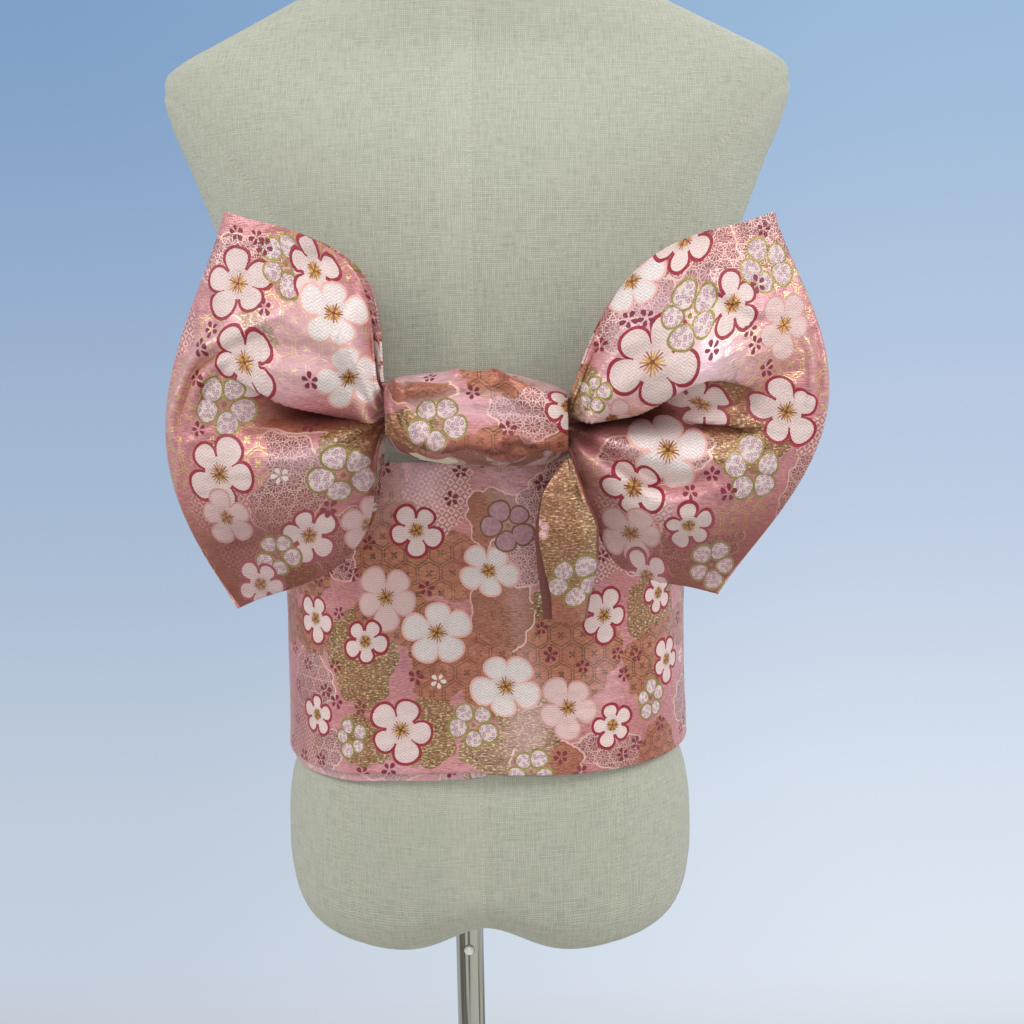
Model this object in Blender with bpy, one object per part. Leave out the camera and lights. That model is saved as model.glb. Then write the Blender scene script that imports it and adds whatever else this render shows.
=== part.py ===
"""A pre-tied sash: a stiff brocade band wound twice round the waist of a limbless dress form,
with a large two-looped bow, its knot and one short tail at the back. The form stands on a
short pole with a round base.

Frame: +Z up, origin at the centre of the base's underside, the bow towards -Y.
Sizes below are in millimetres. A depth is a distance towards the bow, so y = -depth.
"""

import math

import bpy
import numpy as np

FORM_X = 13.5          # the form's middle plane stands beside the pole's axis

# ---- dress form -------------------------------------------------------------------------
FORM_SIDES = 36
FORM_BORE_RADIUS = 8.5
FORM_BORE_TOP = 345.0
FORM_RISE = 16.0       # how far the underside rises at the middle
FORM_RISE_WIDTH = 28.0
FORM_TOP = 835.0
# height, half width, depth to the back, depth to the front, roundness of the section
FORM_LEVELS = (
    (271, 84, 60, 52, 2.2),
    (273, 93, 68, 60, 2.2),
    (277, 101, 75, 66, 2.2),
    (285, 107, 81, 71, 2.2),
    (298, 111, 87, 75, 2.2),
    (318, 113, 90, 78, 2.2),
    (340, 112.5, 91, 79, 2.2),
    (358, 110, 91, 79, 2.2),
    (376, 105, 89, 78, 2.2),
    (410, 104, 86, 77, 2.2),
    (454, 103.5, 84, 78, 2.2),
    (500, 104, 84, 81, 2.2),
    (540, 106, 85, 86, 2.2),
    (580, 113, 87, 92, 2.2),
    (620, 126, 87, 93, 2.2),
    (657, 141, 83, 87, 2.2),
    (686, 152, 75, 77, 2.2),
    (708, 161, 65, 67, 2.2),
    (724, 165, 56, 58, 2.2),
    (733, 164, 51, 53, 2.2),
    (740, 156, 48, 51, 2.2),
    (749, 138, 46, 49, 2.2),
    (760, 116, 44, 48, 2.1),
    (773, 89, 42, 47, 2.1),
    (784, 68, 41, 46, 2.1),
    (794, 56, 41, 45, 2.0),
    (806, 51, 41, 44, 2.0),
    (835, 49, 41, 43, 2.0),
)
NECK_CAP_THICK = 7.0
NECK_CAP_OVERHANG = 1.5

# ---- band -------------------------------------------------------------------------------
BAND_SIDES = 56
BAND_ROWS = (0, 0.18, 0.4, 0.62, 0.76, 0.83, 0.89, 0.945, 1.0)
FIRST_TURN_OFFSET = 2.7     # from the form to the middle of the wall
FIRST_TURN_WALL = 1.2
SECOND_TURN_OFFSET = 4.7
SECOND_TURN_WALL = 1.6
BAND_TOP = 537.0
FIRST_TURN_TOP_DROP = 2.0
# direction round the form in degrees (0 = right, 90 = front, 180 = left, 270 = back),
# lower edge of the outer turn, lower edge of the inner turn
BAND_EDGE = (
    (-30, 378, 381),
    (0, 378, 381),
    (90, 373, 375),
    (180, 377, 373),
    (205, 376, 371.5),
    (230, 377, 372.5),
    (250, 380.5, 376.5),
    (268, 382.5, 379),
    (276, 381, 382),
    (300, 379, 383),
    (330, 378, 381),
    (360, 378, 381),
)
BAND_RIDGE = 2.4            # a soft ridge just under the knot
BAND_RIDGE_X, BAND_RIDGE_WIDE = 20.0, 26.0
BAND_RIDGE_Z, BAND_RIDGE_HIGH = 519.0, 7.0

# ---- bow loops --------------------------------------------------------------------------
LOOP_WALL = 1.6
LOOP_STEPS_AROUND = 32
LOOP_STEPS_UP = 16
LOOP_BULGE_POWER = 1.2
LOOP_BULGE_LOW_LEFT, LOOP_BULGE_LOW_RIGHT = 0.85, 0.96   # under 1 puts the widest point lower
LOWER_LOBE_AT, VALLEY_AT, UPPER_LOBE_AT = 0.25, 0.48, 0.74
GATHERS = 5
LOOP_COLUMNS = (
    "along", "top_x", "top_z", "mid_x", "low_x", "low_z",
    "back", "thick", "upper", "valley", "lower", "gather",
)
LOOP_LEFT = (
    (0.00, -22, 569, -22, -22, 556, 114, 13, 0, 0, 0, 0.6),
    (0.10, -37, 570.5, -38, -37, 555.5, 113, 15, 0, -1, 0, 1.0),
    (0.16, -41, 579, -43, -41, 547.5, 110, 21, 3, -3, 2, 1.8),
    (0.25, -42, 600, -52, -43, 531, 104, 28, 12, -8, 9, 2.4),
    (0.40, -46, 621, -67, -48, 511, 101, 34, 20, -10, 16, 1.4),
    (0.58, -60, 637, -88, -64, 492, 100, 38, 20, -5, 17, 0.4),
    (0.75, -80, 646, -109, -83, 483, 100, 36, 14, 0, 12, 0.0),
    (0.90, -98, 651, -129, -100, 477, 100, 31, 8, 1, 6, 0.0),
    (1.00, -109, 655, -141, -111, 472, 100, 27, 0, 0, 0, 0.0),
)
LOOP_RIGHT = (
    (0.00, 28, 566, 28, 28, 553, 114, 13, 0, 0, 0, 0.6),
    (0.10, 44.5, 566, 45.5, 44.5, 552, 113, 15, 0, -1, 0, 1.0),
    (0.16, 48.5, 573, 51, 48.5, 545, 110, 21, 3, -3, 2, 1.8),
    (0.25, 55, 592, 59, 52, 531, 104, 28, 11, -8, 9, 2.4),
    (0.40, 66, 613, 76, 57, 513, 101, 34, 20, -10, 16, 1.4),
    (0.58, 82, 630, 100, 67, 492, 100, 38, 22, -6, 18, 0.4),
    (0.75, 103, 640, 126, 84, 484, 100, 36, 17, -1, 14, 0.0),
    (0.90, 123, 645, 150, 100, 480, 100, 31, 9, 1, 7, 0.0),
    (1.00, 138, 650, 163, 113, 476, 100, 27, 0, 0, 0, 0.0),
)

# ---- knot -------------------------------------------------------------------------------
KNOT_WALL = 1.6
KNOT_STEPS_AROUND = 34
KNOT_STEPS_ALONG = 14
KNOT_ROUNDNESS = 2.4
KNOT_START = -38.0          # the free front edge, in degrees below straight forward
KNOT_START_WAVE = 11.0
KNOT_WAVES = 2.5
KNOT_END = 326.0
KNOT_STEP_FROM, KNOT_STEP_TO = 246.0, 300.0
KNOT_STEP = 2.9             # how far the inner end passes behind the free edge
KNOT_COLUMNS = ("x", "top", "bottom", "front", "back")
KNOT_ROWS = (
    (-36, 576, 549, 140, 105),
    (-32, 578.5, 545, 144, 103),
    (-20, 580, 541, 148, 101),
    (-2, 581, 538.5, 150, 100),
    (14, 580, 538, 149, 100),
    (28, 577, 538, 147, 101),
    (38, 574, 539.5, 144, 102),
    (44, 571, 543, 140, 105),
)

# ---- tail -------------------------------------------------------------------------------
TAIL_WALL = 1.4
TAIL_STEPS_DOWN = 12
TAIL_STEPS_ACROSS = 6
TAIL_FOLD_STEPS = 4
TAIL_PLY_GAP = 4.2          # between the middles of the two plies at the fold
TAIL_COLUMNS = ("z", "left", "right", "depth", "under")
TAIL_ROWS = (
    (543, 40.5, 46, 144.5, 0.0),
    (531, 34, 49.5, 148, 0.6),
    (515, 30, 55.5, 149, 1.2),
    (498, 31.5, 57, 143, 1.8),
    (480, 34, 53.5, 131, 2.2),
    (466, 35.5, 52, 123, 2.4),
)

# ---- hidden hook of the bow -------------------------------------------------------------
HOOK_WIDE = 22.0
HOOK_THICK = 1.1
# depth beyond the form's surface, height
HOOK_PATH = ((12.2, 566), (12.0, 552), (10.5, 545), (2.4, 541), (1.1, 535), (1.1, 505), (1.1, 470))
HOOK_STEPS_ACROSS = 4

# ---- stand ------------------------------------------------------------------------------
STAND_SIDES = 32
POLE_RADIUS = 8.0
POLE_BOTTOM = 9.3
POLE_TOP = 340.0
BUTTON_HEIGHT = 247.0
BUTTON_RADIUS = 2.8
COLLAR_OUTER, COLLAR_INNER = 16.0, 8.4
COLLAR_BOTTOM, COLLAR_TOP = 9.3, 38.0
BASE_RADIUS, BASE_THICK, BASE_EDGE = 125.0, 9.0, 2.0

MATERIALS = {
    "linen": ((0.62, 0.63, 0.50), 0.0, 0.9),
    "brocade": ((0.78, 0.50, 0.50), 0.0, 0.55),
    "brocade_under": ((0.74, 0.48, 0.48), 0.0, 0.6),
    "cap": ((0.78, 0.74, 0.62), 0.0, 0.6),
    "chrome": ((0.80, 0.80, 0.82), 1.0, 0.12),
    "steel": ((0.60, 0.60, 0.62), 1.0, 0.35),
    "base_paint": ((0.88, 0.88, 0.86), 0.0, 0.35),
}


def soft_curve(keys, values, at):
    """A smooth curve through the rows of a table that never swings past them."""
    keys, values, at = (np.asarray(a, float) for a in (keys, values, at))
    gap = np.diff(keys)
    slope = np.diff(values) / gap
    bend = np.zeros_like(values)
    bend[0], bend[-1] = slope[0], slope[-1]
    for i in range(1, len(keys) - 1):
        if slope[i - 1] * slope[i] > 0:
            w1, w2 = 2 * gap[i] + gap[i - 1], gap[i] + 2 * gap[i - 1]
            bend[i] = (w1 + w2) / (w1 / slope[i - 1] + w2 / slope[i])
    i = np.clip(np.searchsorted(keys, at, side="right") - 1, 0, len(keys) - 2)
    u = np.clip((at - keys[i]) / gap[i], 0.0, 1.0)
    return (
        (2 * u**3 - 3 * u**2 + 1) * values[i]
        + (u**3 - 2 * u**2 + u) * gap[i] * bend[i]
        + (3 * u**2 - 2 * u**3) * values[i + 1]
        + (u**3 - u**2) * gap[i] * bend[i + 1]
    )


def table(rows, columns, name, at):
    rows = np.asarray(rows, float)
    return soft_curve(rows[:, 0], rows[:, columns.index(name)], at)


def ease(low, high, at):
    u = np.clip((np.asarray(at, float) - low) / (high - low), 0.0, 1.0)
    return u * u * (3 - 2 * u)


# ---- making meshes ----------------------------------------------------------------------
def make(name, points, faces, material):
    points = np.asarray(points, float)
    corners = []
    for face in faces:
        corners += [(face[0], face[i], face[i + 1]) for i in range(1, len(face) - 1)]
    tri = points[np.asarray(corners)]
    if np.einsum("ij,ij->i", tri[:, 0], np.cross(tri[:, 1], tri[:, 2])).sum() < 0:
        faces = [tuple(reversed(face)) for face in faces]
    mesh = bpy.data.meshes.new(name)
    mesh.from_pydata((points * 0.001).tolist(), [], [tuple(int(i) for i in f) for f in faces])
    mesh.update()
    thing = bpy.data.objects.new(name, mesh)
    bpy.context.scene.collection.objects.link(thing)
    mesh.materials.append(SURFACES[material])
    return thing


def shell(middle, wall, closed_round=False):
    """The points and faces of a cloth wall about a grid of middle points."""
    rows, cols = middle.shape[:2]
    if closed_round:
        du = np.roll(middle, -1, axis=0) - np.roll(middle, 1, axis=0)
    else:
        du = np.gradient(middle, axis=0)
    dv = np.gradient(middle, axis=1)
    out = np.cross(du, dv)
    out /= np.linalg.norm(out, axis=2, keepdims=True)
    sides = [middle + out * wall / 2, middle - out * wall / 2]
    points = np.concatenate([side.reshape(-1, 3) for side in sides])
    second = rows * cols
    faces = []
    steps = rows if closed_round else rows - 1
    for i in range(steps):
        k = (i + 1) % rows
        for j in range(cols - 1):
            a, b, c, d = i * cols + j, k * cols + j, k * cols + j + 1, i * cols + j + 1
            faces.append((a, b, c, d))
            faces.append((second + d, second + c, second + b, second + a))
        for j, turn in ((0, True), (cols - 1, False)):
            a, b = i * cols + j, k * cols + j
            rim = (a, second + a, second + b, b)
            faces.append(rim if turn else rim[::-1])
    if not closed_round:
        for i, turn in ((0, False), (rows - 1, True)):
            for j in range(cols - 1):
                a, b = i * cols + j, i * cols + j + 1
                rim = (a, second + a, second + b, b)
                faces.append(rim if turn else rim[::-1])
    return points, faces


def lathe(profile, sides, centre=(0.0, 0.0)):
    """A closed solid turned about an upright axis: profile rows of (radius, height)."""
    points, faces, rings = [], [], []
    for radius, height in profile:
        if radius == 0:
            rings.append([len(points)])
            points.append((centre[0], centre[1], height))
            continue
        rings.append(list(range(len(points), len(points) + sides)))
        for k in range(sides):
            angle = 2 * math.pi * k / sides
            points.append((
                centre[0] + radius * math.cos(angle),
                centre[1] + radius * math.sin(angle),
                height,
            ))
    for low, high in zip(rings, rings[1:] + rings[:1]):
        if len(low) == 1 and len(high) == 1:
            continue
        for k in range(sides):
            n = (k + 1) % sides
            if len(low) == 1:
                faces.append((low[0], high[n], high[k]))
            elif len(high) == 1:
                faces.append((low[k], low[n], high[0]))
            else:
                faces.append((low[k], low[n], high[n], high[k]))
    return np.asarray(points), faces


# ---- dress form -------------------------------------------------------------------------
def form_point(angle, height, out=0.0):
    """A point of the form's skin, or one this far outside it. angle is in radians."""
    levels = np.asarray(FORM_LEVELS, float)
    half, back, front, power = (
        soft_curve(levels[:, 0], levels[:, k], height) for k in (1, 2, 3, 4)
    )
    deep = np.where(np.sin(angle) < 0, back, front) + out
    c, s = np.cos(angle), np.sin(angle)
    x = (half + out) * np.sign(c) * np.abs(c) ** (2 / power)
    y = deep * np.sign(s) * np.abs(s) ** (2 / power)
    return np.stack(np.broadcast_arrays(x + FORM_X, y, height), axis=-1)


def form_torso():
    angles = 2 * np.pi * (np.arange(FORM_SIDES) + 0.5) / FORM_SIDES
    heights = [row[0] for row in FORM_LEVELS]
    rings = np.stack([form_point(angles, np.full_like(angles, z)) for z in heights])
    across = rings[..., 0] - FORM_X
    low = 1 - ease(heights[1], 318, rings[..., 2])
    rings[..., 2] += FORM_RISE * np.exp(-((across / FORM_RISE_WIDTH) ** 2)) * low
    # The flat underside takes two more rings, so that its middle rise stays smooth.
    inner = []
    for share in (0.72, 0.4):
        ring = rings[0].copy()
        ring[:, 0] = FORM_X + (ring[:, 0] - FORM_X) * share
        ring[:, 1] *= share
        near = np.exp(-(((ring[:, 0] - FORM_X) / FORM_RISE_WIDTH) ** 2))
        ring[:, 2] = heights[0] + FORM_RISE * near
        inner.insert(0, ring)
    grid = np.concatenate([np.stack(inner), rings])
    count = len(grid)
    points = grid.reshape(-1, 3)
    bottom = (FORM_X, 0.0, heights[0] + FORM_RISE)
    top = (FORM_X, 0.0, heights[-1])
    points = np.concatenate([points, [bottom, top]])
    faces = []
    for i in range(count - 1):
        for k in range(FORM_SIDES):
            n = (k + 1) % FORM_SIDES
            a, b = i * FORM_SIDES + k, i * FORM_SIDES + n
            faces.append((a, b, b + FORM_SIDES, a + FORM_SIDES))
    last = (count - 1) * FORM_SIDES
    for k in range(FORM_SIDES):
        n = (k + 1) % FORM_SIDES
        faces.append((n, k, len(points) - 2))
        faces.append((last + k, last + n, len(points) - 1))
    torso = make("form_torso", points, faces, "linen")
    bore, bore_faces = lathe(
        ((0, 240), (FORM_BORE_RADIUS, 240), (FORM_BORE_RADIUS, FORM_BORE_TOP), (0, FORM_BORE_TOP)),
        STAND_SIDES,
    )
    cutter = make("bore_cutter", bore, bore_faces, "steel")
    cutter.hide_render = True
    cutter.hide_viewport = True
    cut = torso.modifiers.new("pole bore", "BOOLEAN")
    cut.object = cutter
    cut.operation = "DIFFERENCE"
    cut.solver = "EXACT"


def neck_cap():
    angles = 2 * np.pi * np.arange(FORM_SIDES) / FORM_SIDES
    start = FORM_TOP + 0.3
    rows = (
        (0.0, start),
        (NECK_CAP_OVERHANG, start + 1.5),
        (NECK_CAP_OVERHANG, start + NECK_CAP_THICK - 2.0),
        (-1.0, start + NECK_CAP_THICK),
    )
    rings = []
    for out, height in rows:
        ring = form_point(angles, np.full_like(angles, FORM_TOP), out)
        ring[:, 2] = height
        rings.append(ring)
    points = np.concatenate(rings + [[(FORM_X, 0, start), (FORM_X, 0, start + NECK_CAP_THICK)]])
    faces = []
    for i in range(len(rows) - 1):
        for k in range(FORM_SIDES):
            n = (k + 1) % FORM_SIDES
            a, b = i * FORM_SIDES + k, i * FORM_SIDES + n
            faces.append((a, b, b + FORM_SIDES, a + FORM_SIDES))
    last = (len(rows) - 1) * FORM_SIDES
    for k in range(FORM_SIDES):
        n = (k + 1) % FORM_SIDES
        faces.append((n, k, len(points) - 2))
        faces.append((last + k, last + n, len(points) - 1))
    make("form_neck_cap", points, faces, "cap")


# ---- band -------------------------------------------------------------------------------
def band(name, offset, wall, top, edge_column, material, ridge):
    angles = 2 * np.pi * np.arange(BAND_SIDES) / BAND_SIDES
    up = np.asarray(BAND_ROWS, float)
    edge = np.asarray(BAND_EDGE, float)
    low = soft_curve(edge[:, 0], edge[:, edge_column], np.degrees(angles))
    height = low[:, None] + (top - low[:, None]) * up[None, :]
    spread = np.broadcast_to(angles[:, None], height.shape)
    middle = form_point(spread, height, offset)
    if ridge:
        across = (middle[..., 0] - FORM_X - BAND_RIDGE_X) / BAND_RIDGE_WIDE
        rise = (height - BAND_RIDGE_Z) / BAND_RIDGE_HIGH
        behind = middle[..., 1] < 0
        middle[..., 1] -= BAND_RIDGE * np.exp(-(across**2) - rise**2) * behind
    points, faces = shell(middle, wall, closed_round=True)
    make(name, points, faces, material)


# ---- bow loops --------------------------------------------------------------------------
def loop_middle(rows, around, up, low):
    """Points of a loop of cloth. around runs from -1 at the back ply's gathered end, through
    0 at the outer fold, to 1 at the front ply's gathered end; up runs from 0 at the lower
    edge to 1 at the upper edge; low says how far down the outer fold is widest."""
    along = 1 - around**2
    col = {c: table(rows, LOOP_COLUMNS, c, along) for c in LOOP_COLUMNS[1:]}
    bulge = col["mid_x"] - (col["top_x"] + col["low_x"]) / 2
    bow = np.sin(np.pi * up**low) ** LOOP_BULGE_POWER
    x = col["low_x"] + (col["top_x"] - col["low_x"]) * up + bulge * bow
    z = col["low_z"] + (col["top_z"] - col["low_z"]) * up
    size = np.abs(around)
    part = 2 * size - size**2
    half = col["thick"] / 2
    relief = np.zeros_like(x)
    shape_at = (0.0, LOWER_LOBE_AT, VALLEY_AT, UPPER_LOBE_AT, 1.0)
    for i in range(x.shape[0]):
        marks = (0.0, col["lower"][i, 0], col["valley"][i, 0], col["upper"][i, 0], 0.0)
        relief[i] = soft_curve(shape_at, marks, up[i])
    pleats = col["gather"] * np.cos(2 * np.pi * GATHERS * up)
    front = around > 0
    depth = col["back"] + half + np.sign(around) * part * half
    depth = depth + part**2 * np.where(front, relief + pleats, -0.18 * relief - 0.5 * pleats)
    return np.stack([x + FORM_X, -depth, z], axis=-1)


def bow_loop(name, rows, low):
    steps = np.linspace(-1, 1, LOOP_STEPS_AROUND + 1)
    around, up = np.meshgrid(steps, np.linspace(0, 1, LOOP_STEPS_UP + 1), indexing="ij")
    points, faces = shell(loop_middle(rows, around, up, low), LOOP_WALL)
    make(name, points, faces, "brocade")


# ---- knot -------------------------------------------------------------------------------
def knot_wrap():
    xs = np.linspace(KNOT_ROWS[0][0], KNOT_ROWS[-1][0], KNOT_STEPS_ALONG + 1)
    col = {c: table(KNOT_ROWS, KNOT_COLUMNS, c, xs) for c in KNOT_COLUMNS[1:]}
    share = np.linspace(0, 1, KNOT_STEPS_AROUND + 1)
    run = (xs - xs[0]) / (xs[-1] - xs[0])
    start = KNOT_START + KNOT_START_WAVE * np.sin(2 * np.pi * KNOT_WAVES * run + 0.6)
    angle = start[None, :] + (KNOT_END - start[None, :]) * share[:, None]
    inward = KNOT_STEP * ease(KNOT_STEP_FROM, KNOT_STEP_TO, angle)
    high = (col["top"] - col["bottom"]) / 2 - inward
    deep = (col["front"] - col["back"]) / 2 - inward
    turn = np.radians(angle)
    c, s = np.cos(turn), np.sin(turn)
    depth = (col["front"] + col["back"]) / 2 + deep * np.sign(c) * np.abs(c) ** (2 / KNOT_ROUNDNESS)
    z = (col["top"] + col["bottom"]) / 2 + high * np.sign(s) * np.abs(s) ** (2 / KNOT_ROUNDNESS)
    x = np.broadcast_to(xs[None, :], z.shape)
    points, faces = shell(np.stack([x + FORM_X, -depth, z], axis=-1), KNOT_WALL)
    make("knot_wrap", points, faces, "brocade")


# ---- tail -------------------------------------------------------------------------------
def bow_tail():
    down = np.linspace(TAIL_ROWS[-1][0], TAIL_ROWS[0][0], TAIL_STEPS_DOWN + 1)
    rows = tuple(reversed(TAIL_ROWS))
    col = {c: table(rows, TAIL_COLUMNS, c, down) for c in TAIL_COLUMNS[1:]}
    radius = TAIL_PLY_GAP / 2
    strips = []
    for k in range(TAIL_STEPS_ACROSS + 1):
        share = k / TAIL_STEPS_ACROSS
        x = col["left"] + (col["right"] - radius - col["left"]) * share
        strips.append(np.stack([x, col["depth"] + 1.0 * math.sin(math.pi * share), down], -1))
    for k in range(1, TAIL_FOLD_STEPS):
        turn = math.pi * k / TAIL_FOLD_STEPS
        x = col["right"] - radius + radius * math.sin(turn)
        strips.append(np.stack([x, col["depth"] - radius + radius * math.cos(turn), down], -1))
    for k in range(TAIL_STEPS_ACROSS + 1):
        share = 1 - k / TAIL_STEPS_ACROSS
        left = col["left"] - col["under"]
        x = left + (col["right"] - radius - left) * share
        strips.append(np.stack([x, col["depth"] - 2 * radius + 0 * x, down], -1))
    middle = np.stack(strips)
    middle = np.stack([middle[..., 0] + FORM_X, -middle[..., 1], middle[..., 2]], -1)
    points, faces = shell(middle, TAIL_WALL)
    make("bow_tail", points, faces, "brocade")


def bow_hook():
    across = np.linspace(-HOOK_WIDE / 2, HOOK_WIDE / 2, HOOK_STEPS_ACROSS + 1)
    grid = []
    for out, height in HOOK_PATH:
        level = np.asarray(FORM_LEVELS, float)
        half = soft_curve(level[:, 0], level[:, 1], height)
        back = soft_curve(level[:, 0], level[:, 2], height)
        power = soft_curve(level[:, 0], level[:, 4], height)
        # The upper leg is flat behind the knot and the lower leg follows the form.
        round_it = ease(545, 536, height) if height > 536 else 1.0
        drop = back * (1 - (1 - (np.abs(across) / half) ** power) ** (1 / power)) * round_it
        grid.append(np.stack([across + FORM_X, -(back + out - drop), across * 0 + height], -1))
    points, faces = shell(np.stack(grid), HOOK_THICK)
    make("bow_hook", points, faces, "steel")


# ---- stand ------------------------------------------------------------------------------
def stand():
    pole = (
        (0, POLE_BOTTOM), (POLE_RADIUS - 0.8, POLE_BOTTOM), (POLE_RADIUS, POLE_BOTTOM + 0.8),
        (POLE_RADIUS, POLE_TOP - 0.8), (POLE_RADIUS - 0.8, POLE_TOP), (0, POLE_TOP),
    )
    make("stand_pole", *lathe(pole, STAND_SIDES), "chrome")
    collar = (
        (COLLAR_INNER, COLLAR_BOTTOM), (COLLAR_OUTER, COLLAR_BOTTOM),
        (COLLAR_OUTER, COLLAR_TOP - 1.5), (COLLAR_OUTER - 1.5, COLLAR_TOP),
        (COLLAR_INNER, COLLAR_TOP),
    )
    make("base_collar", *lathe(collar, STAND_SIDES), "chrome")
    base = (
        (0, 0), (BASE_RADIUS - BASE_EDGE, 0), (BASE_RADIUS, BASE_EDGE),
        (BASE_RADIUS, BASE_THICK - BASE_EDGE), (BASE_RADIUS - BASE_EDGE, BASE_THICK),
        (0, BASE_THICK),
    )
    make("base_plate", *lathe(base, 2 * STAND_SIDES), "base_paint")
    button = (
        (0, 0), (BUTTON_RADIUS, 0), (BUTTON_RADIUS, 0.7), (BUTTON_RADIUS * 0.7, 1.5),
        (BUTTON_RADIUS * 0.3, 1.8), (0, 1.85),
    )
    points, faces = lathe(button, 16)
    # The dome points towards the bow side and sits just clear of the pole.
    out = POLE_RADIUS + 0.3
    points = np.stack([points[:, 0], -(out + points[:, 2]), BUTTON_HEIGHT + points[:, 1]], -1)
    make("snap_button", points, faces, "steel")


for thing in list(bpy.data.objects):
    bpy.data.objects.remove(thing, do_unlink=True)

SURFACES = {}
for label, (colour, metal, rough) in MATERIALS.items():
    surface = bpy.data.materials.new(label)
    surface.use_nodes = True
    shader = surface.node_tree.nodes["Principled BSDF"]
    shader.inputs["Base Color"].default_value = (*colour, 1.0)
    shader.inputs["Metallic"].default_value = metal
    shader.inputs["Roughness"].default_value = rough
    SURFACES[label] = surface

form_torso()
neck_cap()
band("band_first_turn", FIRST_TURN_OFFSET, FIRST_TURN_WALL, BAND_TOP - FIRST_TURN_TOP_DROP,
     2, "brocade_under", False)
band("band_second_turn", SECOND_TURN_OFFSET, SECOND_TURN_WALL, BAND_TOP, 1, "brocade", True)
bow_loop("bow_loop_left", LOOP_LEFT, LOOP_BULGE_LOW_LEFT)
bow_loop("bow_loop_right", LOOP_RIGHT, LOOP_BULGE_LOW_RIGHT)
knot_wrap()
bow_tail()
bow_hook()
stand()
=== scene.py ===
"""Looks of a ready-tied brocade sash with a large bow, on a linen dress form and its stand.

Tables of sizes and motifs come first, then the finishes, then the pieces. Lengths in the tables
are in millimetres and become metres in shape(). A depth is a distance towards the bow: y = -depth.
"""

import math

import bpy  # noqa: E402
import numpy as np  # noqa: E402
from mathutils import Matrix, Vector  # noqa: E402


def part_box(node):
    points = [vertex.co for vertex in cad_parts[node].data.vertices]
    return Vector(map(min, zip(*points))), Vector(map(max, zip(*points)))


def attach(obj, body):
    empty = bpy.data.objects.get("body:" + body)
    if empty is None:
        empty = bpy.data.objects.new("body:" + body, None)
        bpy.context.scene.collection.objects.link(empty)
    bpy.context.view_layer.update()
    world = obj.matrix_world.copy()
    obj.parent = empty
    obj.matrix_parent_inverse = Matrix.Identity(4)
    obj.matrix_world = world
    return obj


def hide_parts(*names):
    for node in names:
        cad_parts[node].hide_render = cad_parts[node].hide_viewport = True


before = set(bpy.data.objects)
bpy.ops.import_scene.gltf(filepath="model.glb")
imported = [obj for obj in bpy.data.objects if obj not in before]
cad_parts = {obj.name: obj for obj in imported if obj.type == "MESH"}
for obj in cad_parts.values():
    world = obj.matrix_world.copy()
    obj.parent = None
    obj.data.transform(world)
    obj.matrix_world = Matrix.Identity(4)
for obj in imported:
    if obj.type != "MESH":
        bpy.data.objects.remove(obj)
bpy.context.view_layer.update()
bpy.ops.object.select_all(action="DESELECT")

MM = 0.001
ROUND = 2 * math.pi
FORM_X = 13.5           # the form's middle plane stands beside the pole's axis
SEED = 47

# ---- sizes shared with the solids -------------------------------------------------------
FORM_RISE, FORM_RISE_WIDTH = 16.0, 28.0
FORM_TOP = 835.0
# height, half width, depth to the back, depth to the front, roundness of the section
FORM_LEVELS = (
    (271, 84, 60, 52, 2.2),
    (273, 93, 68, 60, 2.2),
    (277, 101, 75, 66, 2.2),
    (285, 107, 81, 71, 2.2),
    (298, 111, 87, 75, 2.2),
    (318, 113, 90, 78, 2.2),
    (340, 112.5, 91, 79, 2.2),
    (358, 110, 91, 79, 2.2),
    (376, 105, 89, 78, 2.2),
    (410, 104, 86, 77, 2.2),
    (454, 103.5, 84, 78, 2.2),
    (500, 104, 84, 81, 2.2),
    (540, 106, 85, 86, 2.2),
    (580, 113, 87, 92, 2.2),
    (620, 126, 87, 93, 2.2),
    (657, 141, 83, 87, 2.2),
    (686, 152, 75, 77, 2.2),
    (708, 161, 65, 67, 2.2),
    (724, 165, 56, 58, 2.2),
    (733, 164, 51, 53, 2.2),
    (740, 156, 48, 51, 2.2),
    (749, 138, 46, 49, 2.2),
    (760, 116, 44, 48, 2.1),
    (773, 89, 42, 47, 2.1),
    (784, 68, 41, 46, 2.1),
    (794, 56, 41, 45, 2.0),
    (806, 51, 41, 44, 2.0),
    (835, 49, 41, 43, 2.0),
)
# Seam of the arm plate: height, distance from the form's middle depth.
ARM_SEAM = (
    (548, 0), (556, 24), (572, 46), (596, 60), (625, 66), (654, 63),
    (672, 56), (686, 49), (702, 38), (718, 24), (729, 0),
)
ARM_MIDDLE, ARM_RADIUS = 640, 72       # for the run of its stitches
SIDE_SEAM_X = 68.0

FIRST_TURN_OFFSET, FIRST_TURN_WALL = 2.7, 1.2
SECOND_TURN_OFFSET, SECOND_TURN_WALL = 4.7, 1.6
BAND_TOP, FIRST_TURN_TOP_DROP = 537.0, 2.0
# direction round the form in degrees (270 = back), lower edge of the outer turn, of the inner
BAND_EDGE = (
    (-30, 378, 381), (0, 378, 381), (90, 373, 375), (180, 377, 373), (205, 376, 371.5),
    (230, 377, 372.5), (250, 380.5, 376.5), (268, 382.5, 379), (276, 381, 382),
    (300, 379, 383), (330, 378, 381), (360, 378, 381),
)
BAND_RIDGE = 2.4
BAND_RIDGE_X, BAND_RIDGE_WIDE = 20.0, 26.0
BAND_RIDGE_Z, BAND_RIDGE_HIGH = 519.0, 7.0

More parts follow.
